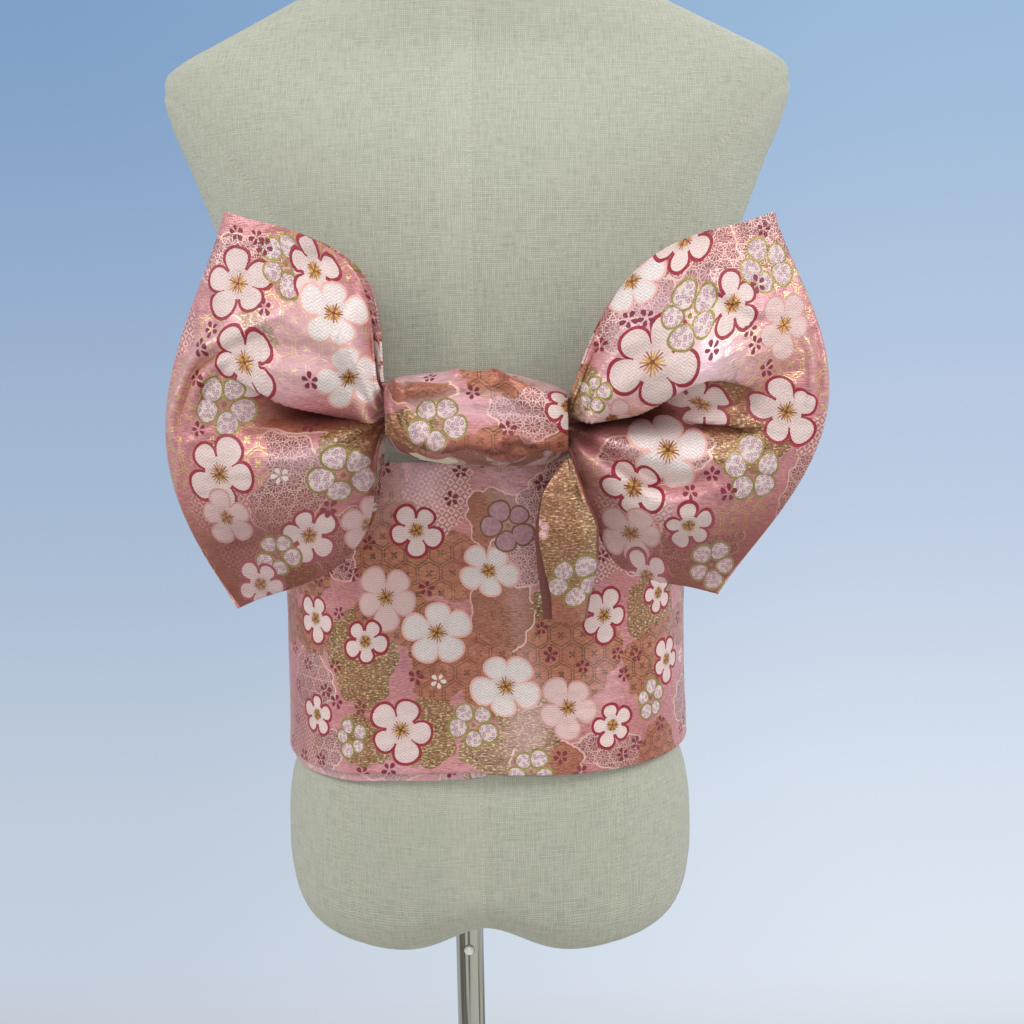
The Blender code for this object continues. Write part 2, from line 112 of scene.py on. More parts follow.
LOOP_WALL = 1.6
LOOP_BULGE_POWER = 1.2
LOWER_LOBE_AT, VALLEY_AT, UPPER_LOBE_AT = 0.33, 0.48, 0.70
GATHERS = 5
LOWER_LEAN, UPPER_LEAN = 14.0, 1.0     # how far the front ply's edges lean towards the form
DEPTH_SHARE = 0.14      # how much of its depth a crease adds to the flat measure
LOOP_COLUMNS = (
    "along", "top_x", "top_z", "mid_x", "low_x", "low_z",
    "back", "thick", "upper", "valley", "lower", "gather",
)
LOOP_LEFT = (
    (0.00, -22, 569, -22, -22, 556, 114, 13, 0, 0, 0, 0.6),
    (0.10, -37, 570.5, -38, -37, 555.5, 113, 15, 0, -1, 0, 1.0),
    (0.16, -41, 579, -43, -41, 547.5, 110, 21, 3, -3, 2, 1.8),
    (0.25, -42, 600, -52, -43, 531, 104, 28, 12, -8, 9, 2.4),
    (0.40, -46, 621, -67, -48, 511, 101, 34, 20, -10, 16, 1.4),
    (0.58, -60, 637, -88, -64, 492, 100, 38, 20, -5, 17, 0.4),
    (0.75, -80, 646, -109, -83, 483, 100, 36, 14, 0, 12, 0.0),
    (0.90, -98, 651, -129, -100, 477, 100, 31, 8, 1, 6, 0.0),
    (1.00, -109, 655, -141, -111, 472, 100, 27, 0, 0, 0, 0.0),
)
LOOP_RIGHT = (
    (0.00, 28, 566, 28, 28, 551, 114, 13, 0, 0, 0, 0.6),
    (0.10, 44, 566, 44.5, 42.5, 549, 113, 15, 0, -1, 0, 1.0),
    (0.16, 48, 573, 50, 46, 542, 110, 21, 3, -3, 2, 1.8),
    (0.25, 55, 592, 58.5, 50, 529, 104, 28, 11, -8, 9, 2.4),
    (0.40, 66, 613, 76, 56, 512, 101, 34, 20, -10, 16, 1.4),
    (0.58, 82, 630, 100, 67, 492, 100, 38, 22, -6, 18, 0.4),
    (0.75, 103, 640, 126, 84, 484, 100, 36, 17, -1, 14, 0.0),
    (0.90, 123, 645, 150, 100, 480, 100, 31, 9, 1, 7, 0.0),
    (1.00, 138, 650, 163, 113, 476, 100, 27, 0, 0, 0, 0.0),
)
LOOP_LOW = {"left": 0.85, "right": 0.96}   # under 1 puts the widest point lower
# Creases: four places that each line passes through, how far it stands out (or sinks in, under
# zero), the half width above it, the half width of its lower edge, how far the cloth below it
# sinks and over what width, and how far the edge hangs down over that.
CREASE_COLUMNS = (
    "x_0", "z_0", "x_1", "z_1", "x_2", "z_2", "x_3", "z_3",
    "out", "above", "edge", "sink", "below", "tuck",
)
CREASES_LEFT = (
    (-35, 565, -55, 568.5, -82, 576, -114, 588, 6.0, 11, 2.2, 1.3, 13, 6.0),
    (-36, 560.5, -58, 561, -84, 556, -112, 549, 5.0, 4, 9.0, 0.0, 9, 0.0),
    (-47, 614, -50, 600, -47, 584, -37, 568, 5.5, 7, 3.0, 0.45, 6, 0.0),
    (-40, 607, -41, 596, -39, 583, -34, 573, -3.5, 3, 3.0, 0.0, 3, 0.0),
    (-54, 583, -68, 591, -84, 593, -104, 590, -4.2, 7, 6.0, 0.0, 6, 0.0),
    (-134, 568, -128, 582, -118, 593, -100, 602, 3.4, 2.6, 2.0, 0.7, 4, 0.0),
    (-127, 564, -122, 576, -112, 586, -98, 592, 2.8, 2.2, 1.8, 0.7, 4, 0.0),
    (-134, 548, -137, 558, -135, 568, -130, 578, 2.4, 2.2, 2.0, 0.6, 4, 0.0),
    (-136, 528, -134, 540, -128, 550, -118, 556, 1.4, 2.6, 2.2, 0.4, 4, 0.0),
    (-118, 503, -98, 507, -76, 514, -54, 530, -3.4, 9, 8.0, 0.0, 8, 0.0),
    (-60, 640, -68, 630, -78, 619, -94, 606, -3.2, 7, 6.0, 0.0, 6, 0.0),
    (-122, 630, -112, 620, -104, 606, -98, 596, 2.2, 7, 5.0, 0.0, 6, 0.0),
    (-38, 552, -54, 546, -76, 545, -100, 551, 2.6, 5, 4.0, 0.3, 6, 0.0),
    (-44, 538, -58, 528, -74, 521, -92, 520, -2.2, 6, 5.0, 0.0, 5, 0.0),
    (-125, 589, -106, 597, -86, 605, -62, 617, 2.6, 8, 3.0, 0.55, 7, 0.0),
    (-38, 548, -46, 536, -54, 524, -66, 514, 1.8, 4, 2.4, 0.5, 5, 0.0),
)
CREASES_RIGHT = (
    (42, 563, 72, 566.6, 104, 582, 138, 569, 9.0, 14, 2.0, 1.0, 12, 5.0),
    (96, 560.5, 110, 560, 122, 558, 138, 554, 4.2, 3.2, 2.2, 0.9, 6, 2.0),
    (52, 552, 74, 549, 96, 546, 120, 547, 4.0, 8, 8.0, 0.0, 8, 0.0),
    (44, 556, 66, 542, 90, 531.5, 122, 540, -5.0, 5, 3.5, 0.0, 4, 0.0),
    (43, 552, 64, 536, 90, 523, 136, 534, 6.8, 3.6, 11.0, 0.0, 11, 0.0),
    (40, 553, 44, 543, 50, 532, 57, 522, -3.4, 4, 3.5, 0.0, 3, 0.0),
    (56, 592, 76, 611, 98, 622, 136, 618, 3.2, 9, 10.0, 0.0, 10, 0.0),
    (157, 604, 161, 588, 162, 570, 157, 552, 2.8, 2.6, 2.2, 0.7, 4, 0.0),
    (62, 506, 78, 503, 94, 503, 116, 508, -3.0, 8, 7.0, 0.0, 7, 0.0),
    (118, 560, 130, 572, 142, 580, 158, 584, -2.8, 6, 5.0, 0.0, 5, 0.0),
    (150, 596, 154, 584, 154, 570, 149, 556, 2.0, 2.2, 2.0, 0.6, 3.5, 0.0),
    (48, 572, 62, 582, 80, 590, 104, 594, -2.4, 5, 5.0, 0.0, 5, 0.0),
    (60, 528, 76, 520, 94, 516, 114, 520, 2.0, 4, 2.6, 0.5, 5, 0.0),
    (100, 626, 112, 614, 128, 606, 148, 604, 2.0, 6, 3.0, 0.4, 6, 0.0),
)
# The hidden plies, towards the form.
CREASES_LEFT_BACK = (
    (-36, 566, -60, 574, -90, 580, -118, 596, 4.0, 12, 3.0, 0.6, 10, 0.0),
    (-37, 560, -58, 548, -84, 534, -112, 522, 3.0, 10, 4.0, 0.5, 9, 0.0),
    (-48, 608, -66, 620, -84, 626, -104, 640, -2.2, 8, 8.0, 0.0, 8, 0.0),
    (-128, 548, -131, 562, -128, 578, -120, 592, 1.6, 3, 2.6, 0.4, 4, 0.0),
)
CREASES_RIGHT_BACK = (
    (44, 564, 70, 574, 104, 578, 140, 592, 4.0, 12, 3.0, 0.6, 10, 0.0),
    (44, 556, 68, 540, 96, 530, 128, 524, 3.0, 10, 4.0, 0.5, 9, 0.0),
    (60, 604, 82, 618, 106, 626, 132, 630, -2.2, 8, 8.0, 0.0, 8, 0.0),
)

KNOT_WALL = 1.6
KNOT_ROUNDNESS = 2.4
KNOT_START, KNOT_START_WAVE, KNOT_WAVES = -38.0, 11.0, 2.5
KNOT_END = 326.0
KNOT_STEP_FROM, KNOT_STEP_TO, KNOT_STEP = 246.0, 300.0, 2.9
KNOT_COLUMNS = ("x", "top", "bottom", "front", "back")
KNOT_ROWS = (
    (-36, 576, 549, 140, 105),
    (-32, 578.5, 545, 144, 103),
    (-20, 580, 541, 148, 101),
    (-2, 581, 538.5, 150, 100),
    (14, 580, 538, 149, 100),
    (28, 577, 538, 147, 101),
    (38, 574, 539.5, 144, 102),
    (44, 571, 543, 140, 105),
)
KNOT_ARC = 0.42          # millimetres round the knot to each degree
# As CREASE_COLUMNS, with z measured round the knot from straight forward.
KNOT_CREASES = (
    (-38, 13, -10, 17, 18, 20, 46, 15, 3.4, 6, 3.6, 0.45, 8, 0.0),
    (-36, 3, -12, 5, 14, 4, 40, 7, -2.6, 5, 5.0, 0.0, 5, 0.0),
    (-34, 26, -31, 14, -25, 2, -17, -8, 3.4, 4, 2.4, 0.6, 5, 0.0),
    (-29, 24, -26, 12, -20, 2, -13, -6, -2.0, 3, 3.0, 0.0, 3, 0.0),
    (-20, 30, -14, 22, -4, 17, 8, 14, -2.2, 4, 4.0, 0.0, 4, 0.0),
    (10, 30, 16, 20, 26, 12, 42, 8, 2.6, 5, 3.4, 0.4, 6, 0.0),
    (-26, -7, -12, -11, 0, -9, 10, -14, 3.2, 3, 2.4, 0.7, 5, 0.0),
    (-35, 22, -34, 10, -31, -3, -25, -13, 3.2, 2.4, 2.0, 0.8, 4, 0.0),
    (-8, 34, -2, 27, 8, 24, 20, 26, 2.4, 3.0, 2.2, 0.7, 4, 0.0),
    (-4, -14, 4, -10, 14, -11, 24, -15, 3.0, 2.6, 2.0, 0.8, 4, 0.0),
    (14, -9, 22, -5, 32, -8, 43, -4, 3.0, 3, 2.4, 0.7, 5, 0.0),
    (24, -14, 30, -11, 36, -12, 43, -10, 1.8, 2.2, 2.0, 0.4, 4, 0.0),
    (-30, 60, -6, 66, 14, 62, 38, 68, -1.6, 7, 7.0, 0.0, 7, 0.0),
    (-34, 96, -10, 90, 14, 97, 40, 92, 1.6, 7, 6.0, 0.0, 7, 0.0),
)

TAIL_WALL, TAIL_PLY_GAP = 1.4, 4.2
TAIL_COLUMNS = ("z", "left", "right", "depth", "under")
TAIL_ROWS = (
    (543, 43.5, 46, 144.5, 0.0),
    (536, 37.8, 48.2, 147, 0.3),
    (526, 32.6, 51.6, 149, 0.9),
    (511, 31.0, 56.6, 149, 1.8),
    (498, 32.6, 56.6, 143, 3.0),
    (482, 35.4, 54.0, 131, 4.4),
    (466, 37.0, 51.6, 123, 4.8),
)

POLE_RADIUS, POLE_BOTTOM, POLE_TOP = 8.0, 9.3, 340.0
BUTTON_HEIGHT, BUTTON_RADIUS = 247.0, 2.8
COLLAR_OUTER, COLLAR_INNER, COLLAR_TOP = 16.0, 8.4, 38.0
BASE_RADIUS, BASE_THICK, BASE_EDGE = 125.0, 9.0, 2.0

# ---- charts of the woven motifs ---------------------------------------------------------
CRIMSON, HERRINGBONE, GILT, MAUVE, WINE, SMALL_WHITE, PALE = 1, 2, 3, 4, 5, 6, 7
CLOUD, TORTOISE, DIAMOND, RAYS, COPPER, NET = 1, 2, 3, 4, 5, 6
FIGURES = ((CLOUD, TORTOISE, DIAMOND, RAYS, COPPER), (0.12, 0.38, 0.16, 0.22, 0.12))
PALE_FIGURES = ((NET, DIAMOND, RAYS, CLOUD), (0.54, 0.26, 0.16, 0.04))
# Blossoms: kind, x from the form's middle, height, radius, direction of one petal in degrees
BAND_BLOSSOMS = (
    (CRIMSON, -30, 504, 14, 50), (PALE, -45, 470, 17, 52), (HERRINGBONE, -20, 453, 17, 90),
    (CRIMSON, -57, 446, 13, 58), (CRIMSON, -85, 454, 14, 62), (CRIMSON, -39, 404, 18, 355),
    (HERRINGBONE, 13, 426, 17, 50), (HERRINGBONE, 7, 484, 14, 60), (MAUVE, 15, 505, 14, 45),
    (GILT, -3, 406, 12.5, 50), (GILT, -65, 395, 11, 105), (CRIMSON, -85, 403, 12, 90),
    (CRIMSON, 62, 457, 15, 64), (PALE, 44, 414, 16, 55), (CRIMSON, 65, 402, 12, 102),
    (CRIMSON, 91, 464, 12, 110), (CRIMSON, 95, 427, 13, 60), (GILT, 86, 411, 11, 90),
    (GILT, 25, 383, 12, 126),
)
BAND_SMALL = (
    (-62, 481), (-25, 475), (-31, 430), (-61, 412), (-80, 419), (-46, 383), (-53, 497),
    (30, 453), (35, 441), (69, 438), (72, 425), (40, 388), (-74, 432), (52, 434),
)
BAND_SMALL_WHITE = ((-20, 428), (34, 470))
# Patches: kind, x, height, half width, half height
BAND_PATCHES = (
    (CLOUD, -58, 440, 19, 24), (CLOUD, 88, 456, 16, 24), (TORTOISE, -17, 486, 26, 16),
    (TORTOISE, 42, 440, 27, 30), (DIAMOND, -22, 520, 20, 17), (COPPER, 10, 462, 15, 22),
    (RAYS, 79, 489, 18, 12), (COPPER, 12, 507, 15, 14), (CLOUD, 8, 392, 15, 11),
    (RAYS, 68, 388, 22, 9), (CLOUD, 44, 468, 16, 9),
)
LEFT_BLOSSOMS = (
    (CRIMSON, -100, 622, 17, 93), (GILT, -79, 630, 13, 70), (CRIMSON, -65, 626, 13.5, 97),
    (HERRINGBONE, -57, 608, 15, 12), (CRIMSON, -97, 587, 17, 50), (GILT, -109, 569, 15, 58),
    (CRIMSON, -111, 538, 18, 62), (GILT, -56, 537, 15, 38), (PALE, -112, 517, 14, 315),
    (CRIMSON, -74, 508, 14, 100), (PALE, -48, 512, 13, 150), (GILT, -90, 499, 11, 130),
    (CRIMSON, -99, 484, 13, 56), (HERRINGBONE, -51, 580, 15, 102),
)
LEFT_SMALL = (
    (-102, 645), (-92, 642), (-88, 638), (-113, 602), (-87, 611), (-122, 557), (-64, 522),
    (-67, 579), (-118, 594), (-122, 580),
)
LEFT_PATCHES = (
    (RAYS, -82, 532, 19, 22), (NET, -76, 598, 24, 14), (CLOUD, -92, 603, 10, 6),
    (COPPER, -76, 563, 30, 8), (CLOUD, -52, 552, 13, 8), (NET, -66, 633, 16, 12),
    (CLOUD, -86, 487, 14, 9),
)
RIGHT_BLOSSOMS = (
    (CRIMSON, 81, 585, 20, 62), (CRIMSON, 116, 609, 14, 100), (PALE, 140, 599, 15, 60),
    (CRIMSON, 142, 561, 17, 92), (CRIMSON, 103, 566, 14, 90), (HERRINGBONE, 87, 546, 18, 82),
    (CRIMSON, 72, 531, 14, 190), (GILT, 126, 535, 15, 95), (PALE, 73, 507, 15, 70),
    (CRIMSON, 98, 512, 13, 30), (CRIMSON, 80, 487, 12, 50), (GILT, 110, 491, 12, 135),
    (GILT, 133, 626, 14, 120), (GILT, 96, 604, 14, 30), (HERRINGBONE, 73, 619, 15, 25),
    (CRIMSON, 94, 641, 14, 250), (PALE, 64, 561, 11, 270), (GILT, 55, 571, 9, 230),
)
RIGHT_SMALL = (
    (72, 603), (78, 603), (106, 590), (125, 591), (128, 617), (131, 581), (107, 536),
    (115, 527), (98, 527), (132, 642), (123, 598), (60, 592),
)
RIGHT_PATCHES = (
    (RAYS, 113, 629, 17, 13), (RAYS, 104, 502, 20, 13), (CLOUD, 118, 566, 24, 29),
    (DIAMOND, 72, 522, 15, 13), (NET, 119, 515, 15, 8), (NET, 104, 596, 24, 14),
    (NET, 136, 586, 18, 14),
)
KNOT_BLOSSOMS = ((GILT, -13, 560, 14, 58), (CRIMSON, 45, 566, 11, 200))
KNOT_SMALL = ((3, 573),)
KNOT_PATCHES = (
    (TORTOISE, 21, 551, 24, 11), (RAYS, 28, 566, 16, 13), (COPPER, -20, 575, 15, 7),
)
TAIL_BLOSSOMS = ((GILT, 46.5, 487, 14.5, 58), (PALE, 31, 513, 5, 20))
TAIL_PATCHES = ((CLOUD, 45, 525, 22, 34), (CLOUD, 46, 492, 20, 24), (COPPER, 40, 472, 16, 12))

# ---- threads of the weave ---------------------------------------------------------------
# For each kind of blossom, from none: its outline, half the outline's width in millimetres,
# its petals.
BLOSSOM_THREADS = (
    ((200, 150, 150), 0.30, (220, 170, 170)),
    ((152, 16, 44), 0.66, (246, 224, 218)),
    ((232, 176, 166), 0.46, (254, 246, 242)),
    ((160, 146, 84), 0.48, (240, 222, 218)),
    ((128, 92, 72), 0.42, (198, 148, 152)),
    ((124, 22, 50), 0.0, (124, 18, 48)),
    ((236, 218, 208), 0.0, (240, 222, 214)),
    ((206, 150, 148), 0.42, (238, 204, 198)),
)
# For each kind of patch, from the plain satin: its field, its drawn lines.
FIGURE_THREADS = (
    ((208, 136, 146), (208, 136, 146)), ((84, 60, 20), (164, 130, 60)),
    ((178, 104, 66), (92, 60, 26)), ((188, 114, 118), (240, 204, 198)),
    ((142, 72, 84), (238, 204, 200)), ((132, 66, 34), (184, 106, 58)),
    ((210, 140, 144), (236, 204, 140)),
)
PETALS = 5
PETAL_HALF_TURN = math.pi / PETALS
# A large and a small blossom's petals, in radii: middle, half length, half width at the
# flower's centre, and how much wider they grow outwards.
PETAL_SHAPES = ((0.585, 0.415, 0.275, 0.22), (0.62, 0.38, 0.09, 0.26))
RINGED_CORE, CORE = 0.08, 0.41          # the filled middle, in radii
CHEVRON_COLUMN, CHEVRON_SLOPE, CHEVRON_PITCH = 1.9, 0.9, 1.5
LINE_SLOPE, LINE_PITCH = 0.05, 1.15
CHEVRON_RADIUS = 14.6                   # a crimson blossom over this has chevrons
STAMEN_WAVES, STAMEN_HALF, STAMEN_REACH = 9.0, 0.28, 0.26
SCALLOPS, FINE_SCALLOPS = 4.5, 7.5
PATCH_RIM = 0.75
NET_CELL, NET_LINE_AT, NET_LINE_HALF = 11.6, 0.66, 0.27
RAY_CELL, RAY_WAVES, RAY_HALF = 8.2, 6.0, 0.125
ARCH_AT, ARCH_HALF = 3.3, 0.22
DIAMOND_TILE, DIAMOND_PITCH = 4.6, 2.3
PATCH_SLOTS, BLOSSOM_SLOTS = 3, 3       # how many motifs may lie over one another
AWAY = 9999.0
# Random motifs, strewn where the charts say nothing.
PATCH_WIDE, PATCH_TALL = (12, 24), (10, 20)
BLOSSOM_RADIUS, SMALL_RADIUS = (11, 17), (3.3, 4.2)
SMALL_ROOM_SEEN, SMALL_ROOM = 11.0, 3.8
BLOSSOM_KINDS = ((CRIMSON, HERRINGBONE, GILT, MAUVE, PALE), (0.38, 0.18, 0.22, 0.06, 0.16))
WINE_SHARE = 0.86
ANY_TURN = (0, 6.28)


# ---- curves -----------------------------------------------------------------------------
def soft_curve(keys, values, at):
    """A smooth curve through the rows of a table that never swings past them."""
    keys, values, at = (np.asarray(a, float) for a in (keys, values, at))
    gap = np.diff(keys)
    slope = np.diff(values) / gap
    bend = np.zeros_like(values)
    bend[0], bend[-1] = slope[0], slope[-1]
    for i in range(1, len(keys) - 1):
        if slope[i - 1] * slope[i] > 0:
            w1, w2 = 2 * gap[i] + gap[i - 1], gap[i] + 2 * gap[i - 1]
            bend[i] = (w1 + w2) / (w1 / slope[i - 1] + w2 / slope[i])
    i = np.clip(np.searchsorted(keys, at, side="right") - 1, 0, len(keys) - 2)
    u = np.clip((at - keys[i]) / gap[i], 0.0, 1.0)
    return (
        (2 * u**3 - 3 * u**2 + 1) * values[i]
        + (u**3 - 2 * u**2 + u) * gap[i] * bend[i]
        + (3 * u**2 - 2 * u**3) * values[i + 1]
        + (u**3 - u**2) * gap[i] * bend[i + 1]
    )


def table(rows, columns, at):
    """Every column of a table after its first, as smooth curves of the first."""
    rows = np.asarray(rows, float)
    return {name: soft_curve(rows[:, 0], rows[:, k], at)
            for k, name in enumerate(columns) if k > 0}


def ease(low, high, at):
    """0 up to low and 1 from high on, with a soft slope between."""
    u = np.clip((np.asarray(at, float) - low) / (high - low), 0.0, 1.0)
    return u * u * (3 - 2 * u)


def hill(off, wide):
    return np.exp(-((off / wide) ** 2))


def crease(rows, x, z):
    """How far each place stands out, and how far it hangs down, for a table of creases."""
    # A crease starts at this part of its depth, is at its full depth from rise to fall, fades
    # over past_end of its length beyond its ends, and hangs over hang_above of its upper side.
    foot, rise, fall, past_end, hang_above = 0.35, 0.16, 0.60, 0.12, 0.45
    out, hang = np.zeros_like(x), np.zeros_like(x)
    at, marks = np.linspace(0, 1, 41), np.linspace(0, 1, 4)
    for row in rows:
        col = dict(zip(CREASE_COLUMNS, row))
        line_x, line_z = (soft_curve(marks, [col[f"{axis}_{k}"] for k in range(4)], at)
                          for axis in "xz")
        gap = np.hypot(x[..., None] - line_x, z[..., None] - line_z)
        near_by = np.argmin(gap, axis=-1)
        way_x, way_z = np.gradient(line_x), np.gradient(line_z)
        hand = np.sign(way_x.sum()) if abs(way_x.sum()) > abs(way_z.sum()) * 0.3 else 1.0
        from_x, from_z = x - line_x[near_by], z - line_z[near_by]
        way_x, way_z = way_x[near_by], way_z[near_by]
        off = hand * (from_z * way_x - from_x * way_z) / np.hypot(way_x, way_z)
        # Past its ends the line goes straight on and fades.
        past = np.abs(from_x * way_x + from_z * way_z) / np.hypot(way_x, way_z)
        past = np.where((near_by == 0) | (near_by == len(at) - 1), past, 0.0)
        length = np.hypot(np.diff(line_x), np.diff(line_z)).sum()
        fade = foot + (1 - foot) * ease(0.0, rise, at[near_by])
        fade = fade * (1 - ease(fall, 1.0, at[near_by])) * (1 - ease(0.0, past_end * length, past))
        lower = (1 + col["sink"]) * hill(off, col["edge"]) - col["sink"] * hill(off, col["below"])
        out += col["out"] * fade * np.where(off > 0, hill(off, col["above"]), lower)
        reach = np.where(off > 0, hang_above * col["above"], col["edge"])
        hang += col["tuck"] * fade * hill(off, reach)
    return out, hang


def soft_waves(across, up, seed, count, longest, shortest):
    """A gentle uneven surface made of a few slanting waves, between -1 and 1."""
    draw = np.random.default_rng(seed)
    total = np.zeros_like(across)
    for _ in range(count):
        length = draw.uniform(shortest, longest)
        turn, phase = draw.uniform(0, math.pi), draw.uniform(0, ROUND)
        run = across * math.cos(turn) + up * math.sin(turn)
        total += np.sin(ROUND * run / length + phase)
    return total / count


# ---- shader building --------------------------------------------------------------------
class Value:
    """A number in a node tree, so that formulas read as they are written."""

    def __init__(self, wires, socket):
        self.wires, self.socket = wires, socket

    def __add__(self, other):
        return self.wires.math("ADD", self, other)

    def __sub__(self, other):
        return self.wires.math("SUBTRACT", self, other)

    def __rsub__(self, other):
        return self.wires.math("SUBTRACT", other, self)

    def __mul__(self, other):
        return self.wires.math("MULTIPLY", self, other)

    def __truediv__(self, other):
        return self.wires.math("DIVIDE", self, other)

    def __rtruediv__(self, other):
        return self.wires.math("DIVIDE", other, self)

    def __lt__(self, other):
        return self.wires.math("LESS_THAN", self, other)

    def __gt__(self, other):
        return self.wires.math("GREATER_THAN", self, other)

    __radd__, __rmul__ = __add__, __mul__


def formula(kind):
    """A function that adds one math node to the tree of its first number."""
    return lambda first, *others: first.wires.math(kind, first, *others)


sine, cosine, magnitude, root, whole = map(formula, ("SINE", "COSINE", "ABSOLUTE", "SQRT", "FLOOR"))
larger, smaller, bearing = map(formula, ("MAXIMUM", "MINIMUM", "ARCTAN2"))
near = formula("COMPARE")           # near(a, b, c) is 1 where a lies within c of b
folded = formula("WRAP")            # folded(a, high, low) repeats a between low and high


def share(value, times, plus=0.0):
    """A number stretched and shifted, then held between 0 and 1."""
    return value.wires.math("MULTIPLY_ADD", value, times, plus, clamp=True)


class Wires:
    """Adds nodes to a tree and joins them."""

    def __init__(self, tree):
        self.tree = tree

    def node(self, kind, **settings):
        made = self.tree.nodes.new(kind)
        for name, value in settings.items():
            setattr(made, name, value)
        return made

    def put(self, socket, value):
        if isinstance(value, Value):
            value = value.socket
        if isinstance(value, bpy.types.NodeSocket):
            self.tree.links.new(value, socket)
        else:
            socket.default_value = value

    def feed(self, node, values):
        """Joins or sets the sockets of a node, by name or by place."""
        for name, value in values.items():
            self.put(node.inputs[name], value)
        return node

    def math(self, kind, *values, clamp=False):
        made = self.node("ShaderNodeMath", operation=kind, use_clamp=clamp)
        return Value(self, self.feed(made, dict(enumerate(values))).outputs[0])

    def parts(self, vector):
        made = self.feed(self.node("ShaderNodeSeparateXYZ"), {0: vector})
        return [Value(self, out) for out in made.outputs]

    def vector(self, *values):
        made = self.node("ShaderNodeCombineXYZ")
        return self.feed(made, dict(enumerate(values))).outputs[0]

    def values(self, node, *names):
        return [Value(self, node.outputs[name]) for name in names]

    def step(self, value, edge, soft):
        """0 below the edge and 1 above it, with a short slope between."""
        made = self.node("ShaderNodeMapRange", interpolation_type="SMOOTHSTEP")
        self.feed(made, {"Value": value, "From Min": edge - soft, "From Max": edge + soft})
        return Value(self, made.outputs["Result"])

    def mix(self, how_much, first, second):
        made = self.node("ShaderNodeMix", data_type="RGBA")
        return self.feed(made, {"Factor": how_much, 6: first, 7: second}).outputs[2]

    def blend(self, how_much, first, second):
        made = self.node("ShaderNodeMix", data_type="FLOAT")
        return Value(self, self.feed(made, {"Factor": how_much, 2: first, 3: second}).outputs[0])

    def choose(self, how_much, first, second):
        made = self.node("ShaderNodeMix", data_type="VECTOR")
        return self.feed(made, {"Factor": how_much, 4: first, 5: second}).outputs[1]

    def noise(self, vector, scale, detail=2.0, rough=0.5, flat=False):
        """A cloud of values. Flat ones lie on the cloth, others fill space."""
        made = self.node("ShaderNodeTexNoise", noise_dimensions="2D" if flat else "3D")
        self.feed(made, {"Vector": vector, "Scale": scale, "Detail": detail, "Roughness": rough})
        return Value(self, made.outputs[0])

    def grain(self, across, up, detail=1.0, rough=0.5):
        """A cloud of values on the cloth, at the scale of its two measures."""
        return self.noise(self.vector(across, up, 0.0), 1.0, detail, rough, flat=True)

    def cells(self, across, up):
        """Distance from the nearest of many scattered points on the cloth."""
        made = self.node("ShaderNodeTexVoronoi", feature="F1", voronoi_dimensions="2D")
        self.feed(made, {"Vector": self.vector(across, up, 0.0), "Scale": 1.0})
        return Value(self, made.outputs["Distance"])

    def attribute(self, name):
        return self.node("ShaderNodeAttribute", attribute_name=name).outputs["Vector"]

    def number(self, name):
        """A number written on the piece's points or faces."""
        return Value(self, self.node("ShaderNodeAttribute", attribute_name=name).outputs["Fac"])

    def cloth(self):
        """The cloth's flat measure in millimetres, its UV map."""
        return self.node("ShaderNodeUVMap", uv_map="cloth").outputs[0]

    def place(self):
        return self.node("ShaderNodeTexCoord").outputs["Object"]

    def by_kind(self, kind, colours):
        """The colour whose place in the list is this kind, and its alpha."""
        made = self.node("ShaderNodeValToRGB")
        ramp = made.color_ramp
        ramp.interpolation = "CONSTANT"
        count = len(colours)
        while len(ramp.elements) < count:
            ramp.elements.new(0.99)
        for i, shade in enumerate(colours):
            ramp.elements[i].position = i / count
            ramp.elements[i].color = shade
        self.put(made.inputs[0], (kind + 0.5) / count)
        return made.outputs[0], Value(self, made.outputs["Alpha"])

    def motif(self, tree, cloth, name):
        """One motif's place, from what each face says of it."""
        at, look = self.attribute(f"{name}_at"), self.attribute(f"{name}_look")
        made = self.node("ShaderNodeGroup", node_tree=tree)
        return self.feed(made, {"cloth": cloth, "at": at, "look": look})

    def bump(self, height, strength):
        made = self.node("ShaderNodeBump")
        self.feed(made, {"Strength": strength, "Distance": MM, "Height": height})
        return made.outputs[0]


def colour(red, green, blue):
    """A paint-card colour, 0 to 255, as the linear colour that a shader takes."""
    card = (red / 255, green / 255, blue / 255)
    return (*(c / 12.92 if c <= 0.04045 else ((c + 0.055) / 1.055) ** 2.4 for c in card), 1.0)


VECTOR, NUMBER, COLOUR = "NodeSocketVector", "NodeSocketFloat", "NodeSocketColor"
PLACE_INPUTS = (("cloth", VECTOR), ("at", VECTOR), ("look", VECTOR))


def group(name, inputs, outputs):
    tree = bpy.data.node_groups.new(name, "ShaderNodeTree")
    for way, sockets in (("INPUT", inputs), ("OUTPUT", outputs)):
        for label, kind in sockets:
            tree.interface.new_socket(label, in_out=way, socket_type=kind)
    wires = Wires(tree)
    return wires, wires.node("NodeGroupInput"), wires.node("NodeGroupOutput")


def finish_material(name):
    material = bpy.data.materials.new(name)
    material.use_nodes = True
    wires = Wires(material.node_tree)
    return material, wires, material.node_tree.nodes["Principled BSDF"]


def about_centre(wires, start):
    """Cloth coordinates about a motif's centre, turned with it, and a number of its own."""
    x, y, _ = wires.parts(start.outputs["cloth"])
    at_x, at_y, turn = wires.parts(start.outputs["at"])
    c, s = cosine(turn), sine(turn)
    dx, dy = x - at_x, y - at_y
    return dx * c + dy * s, dy * c - dx * s, at_x


def petal_outline(wires, along, across, small):
    """How far out in its petal a place is: 1 on the outline. A small blossom's petals are slim."""
    middle, half, base, flare = (wires.blend(small, a, b) for a, b in zip(*PETAL_SHAPES))
    ex, ey = (along - middle) / half, across / (along * flare + base)
    return root(ex * ex + ey * ey)


def is_small(kind):
    return near(kind, (WINE + SMALL_WHITE) / 2, 0.8)


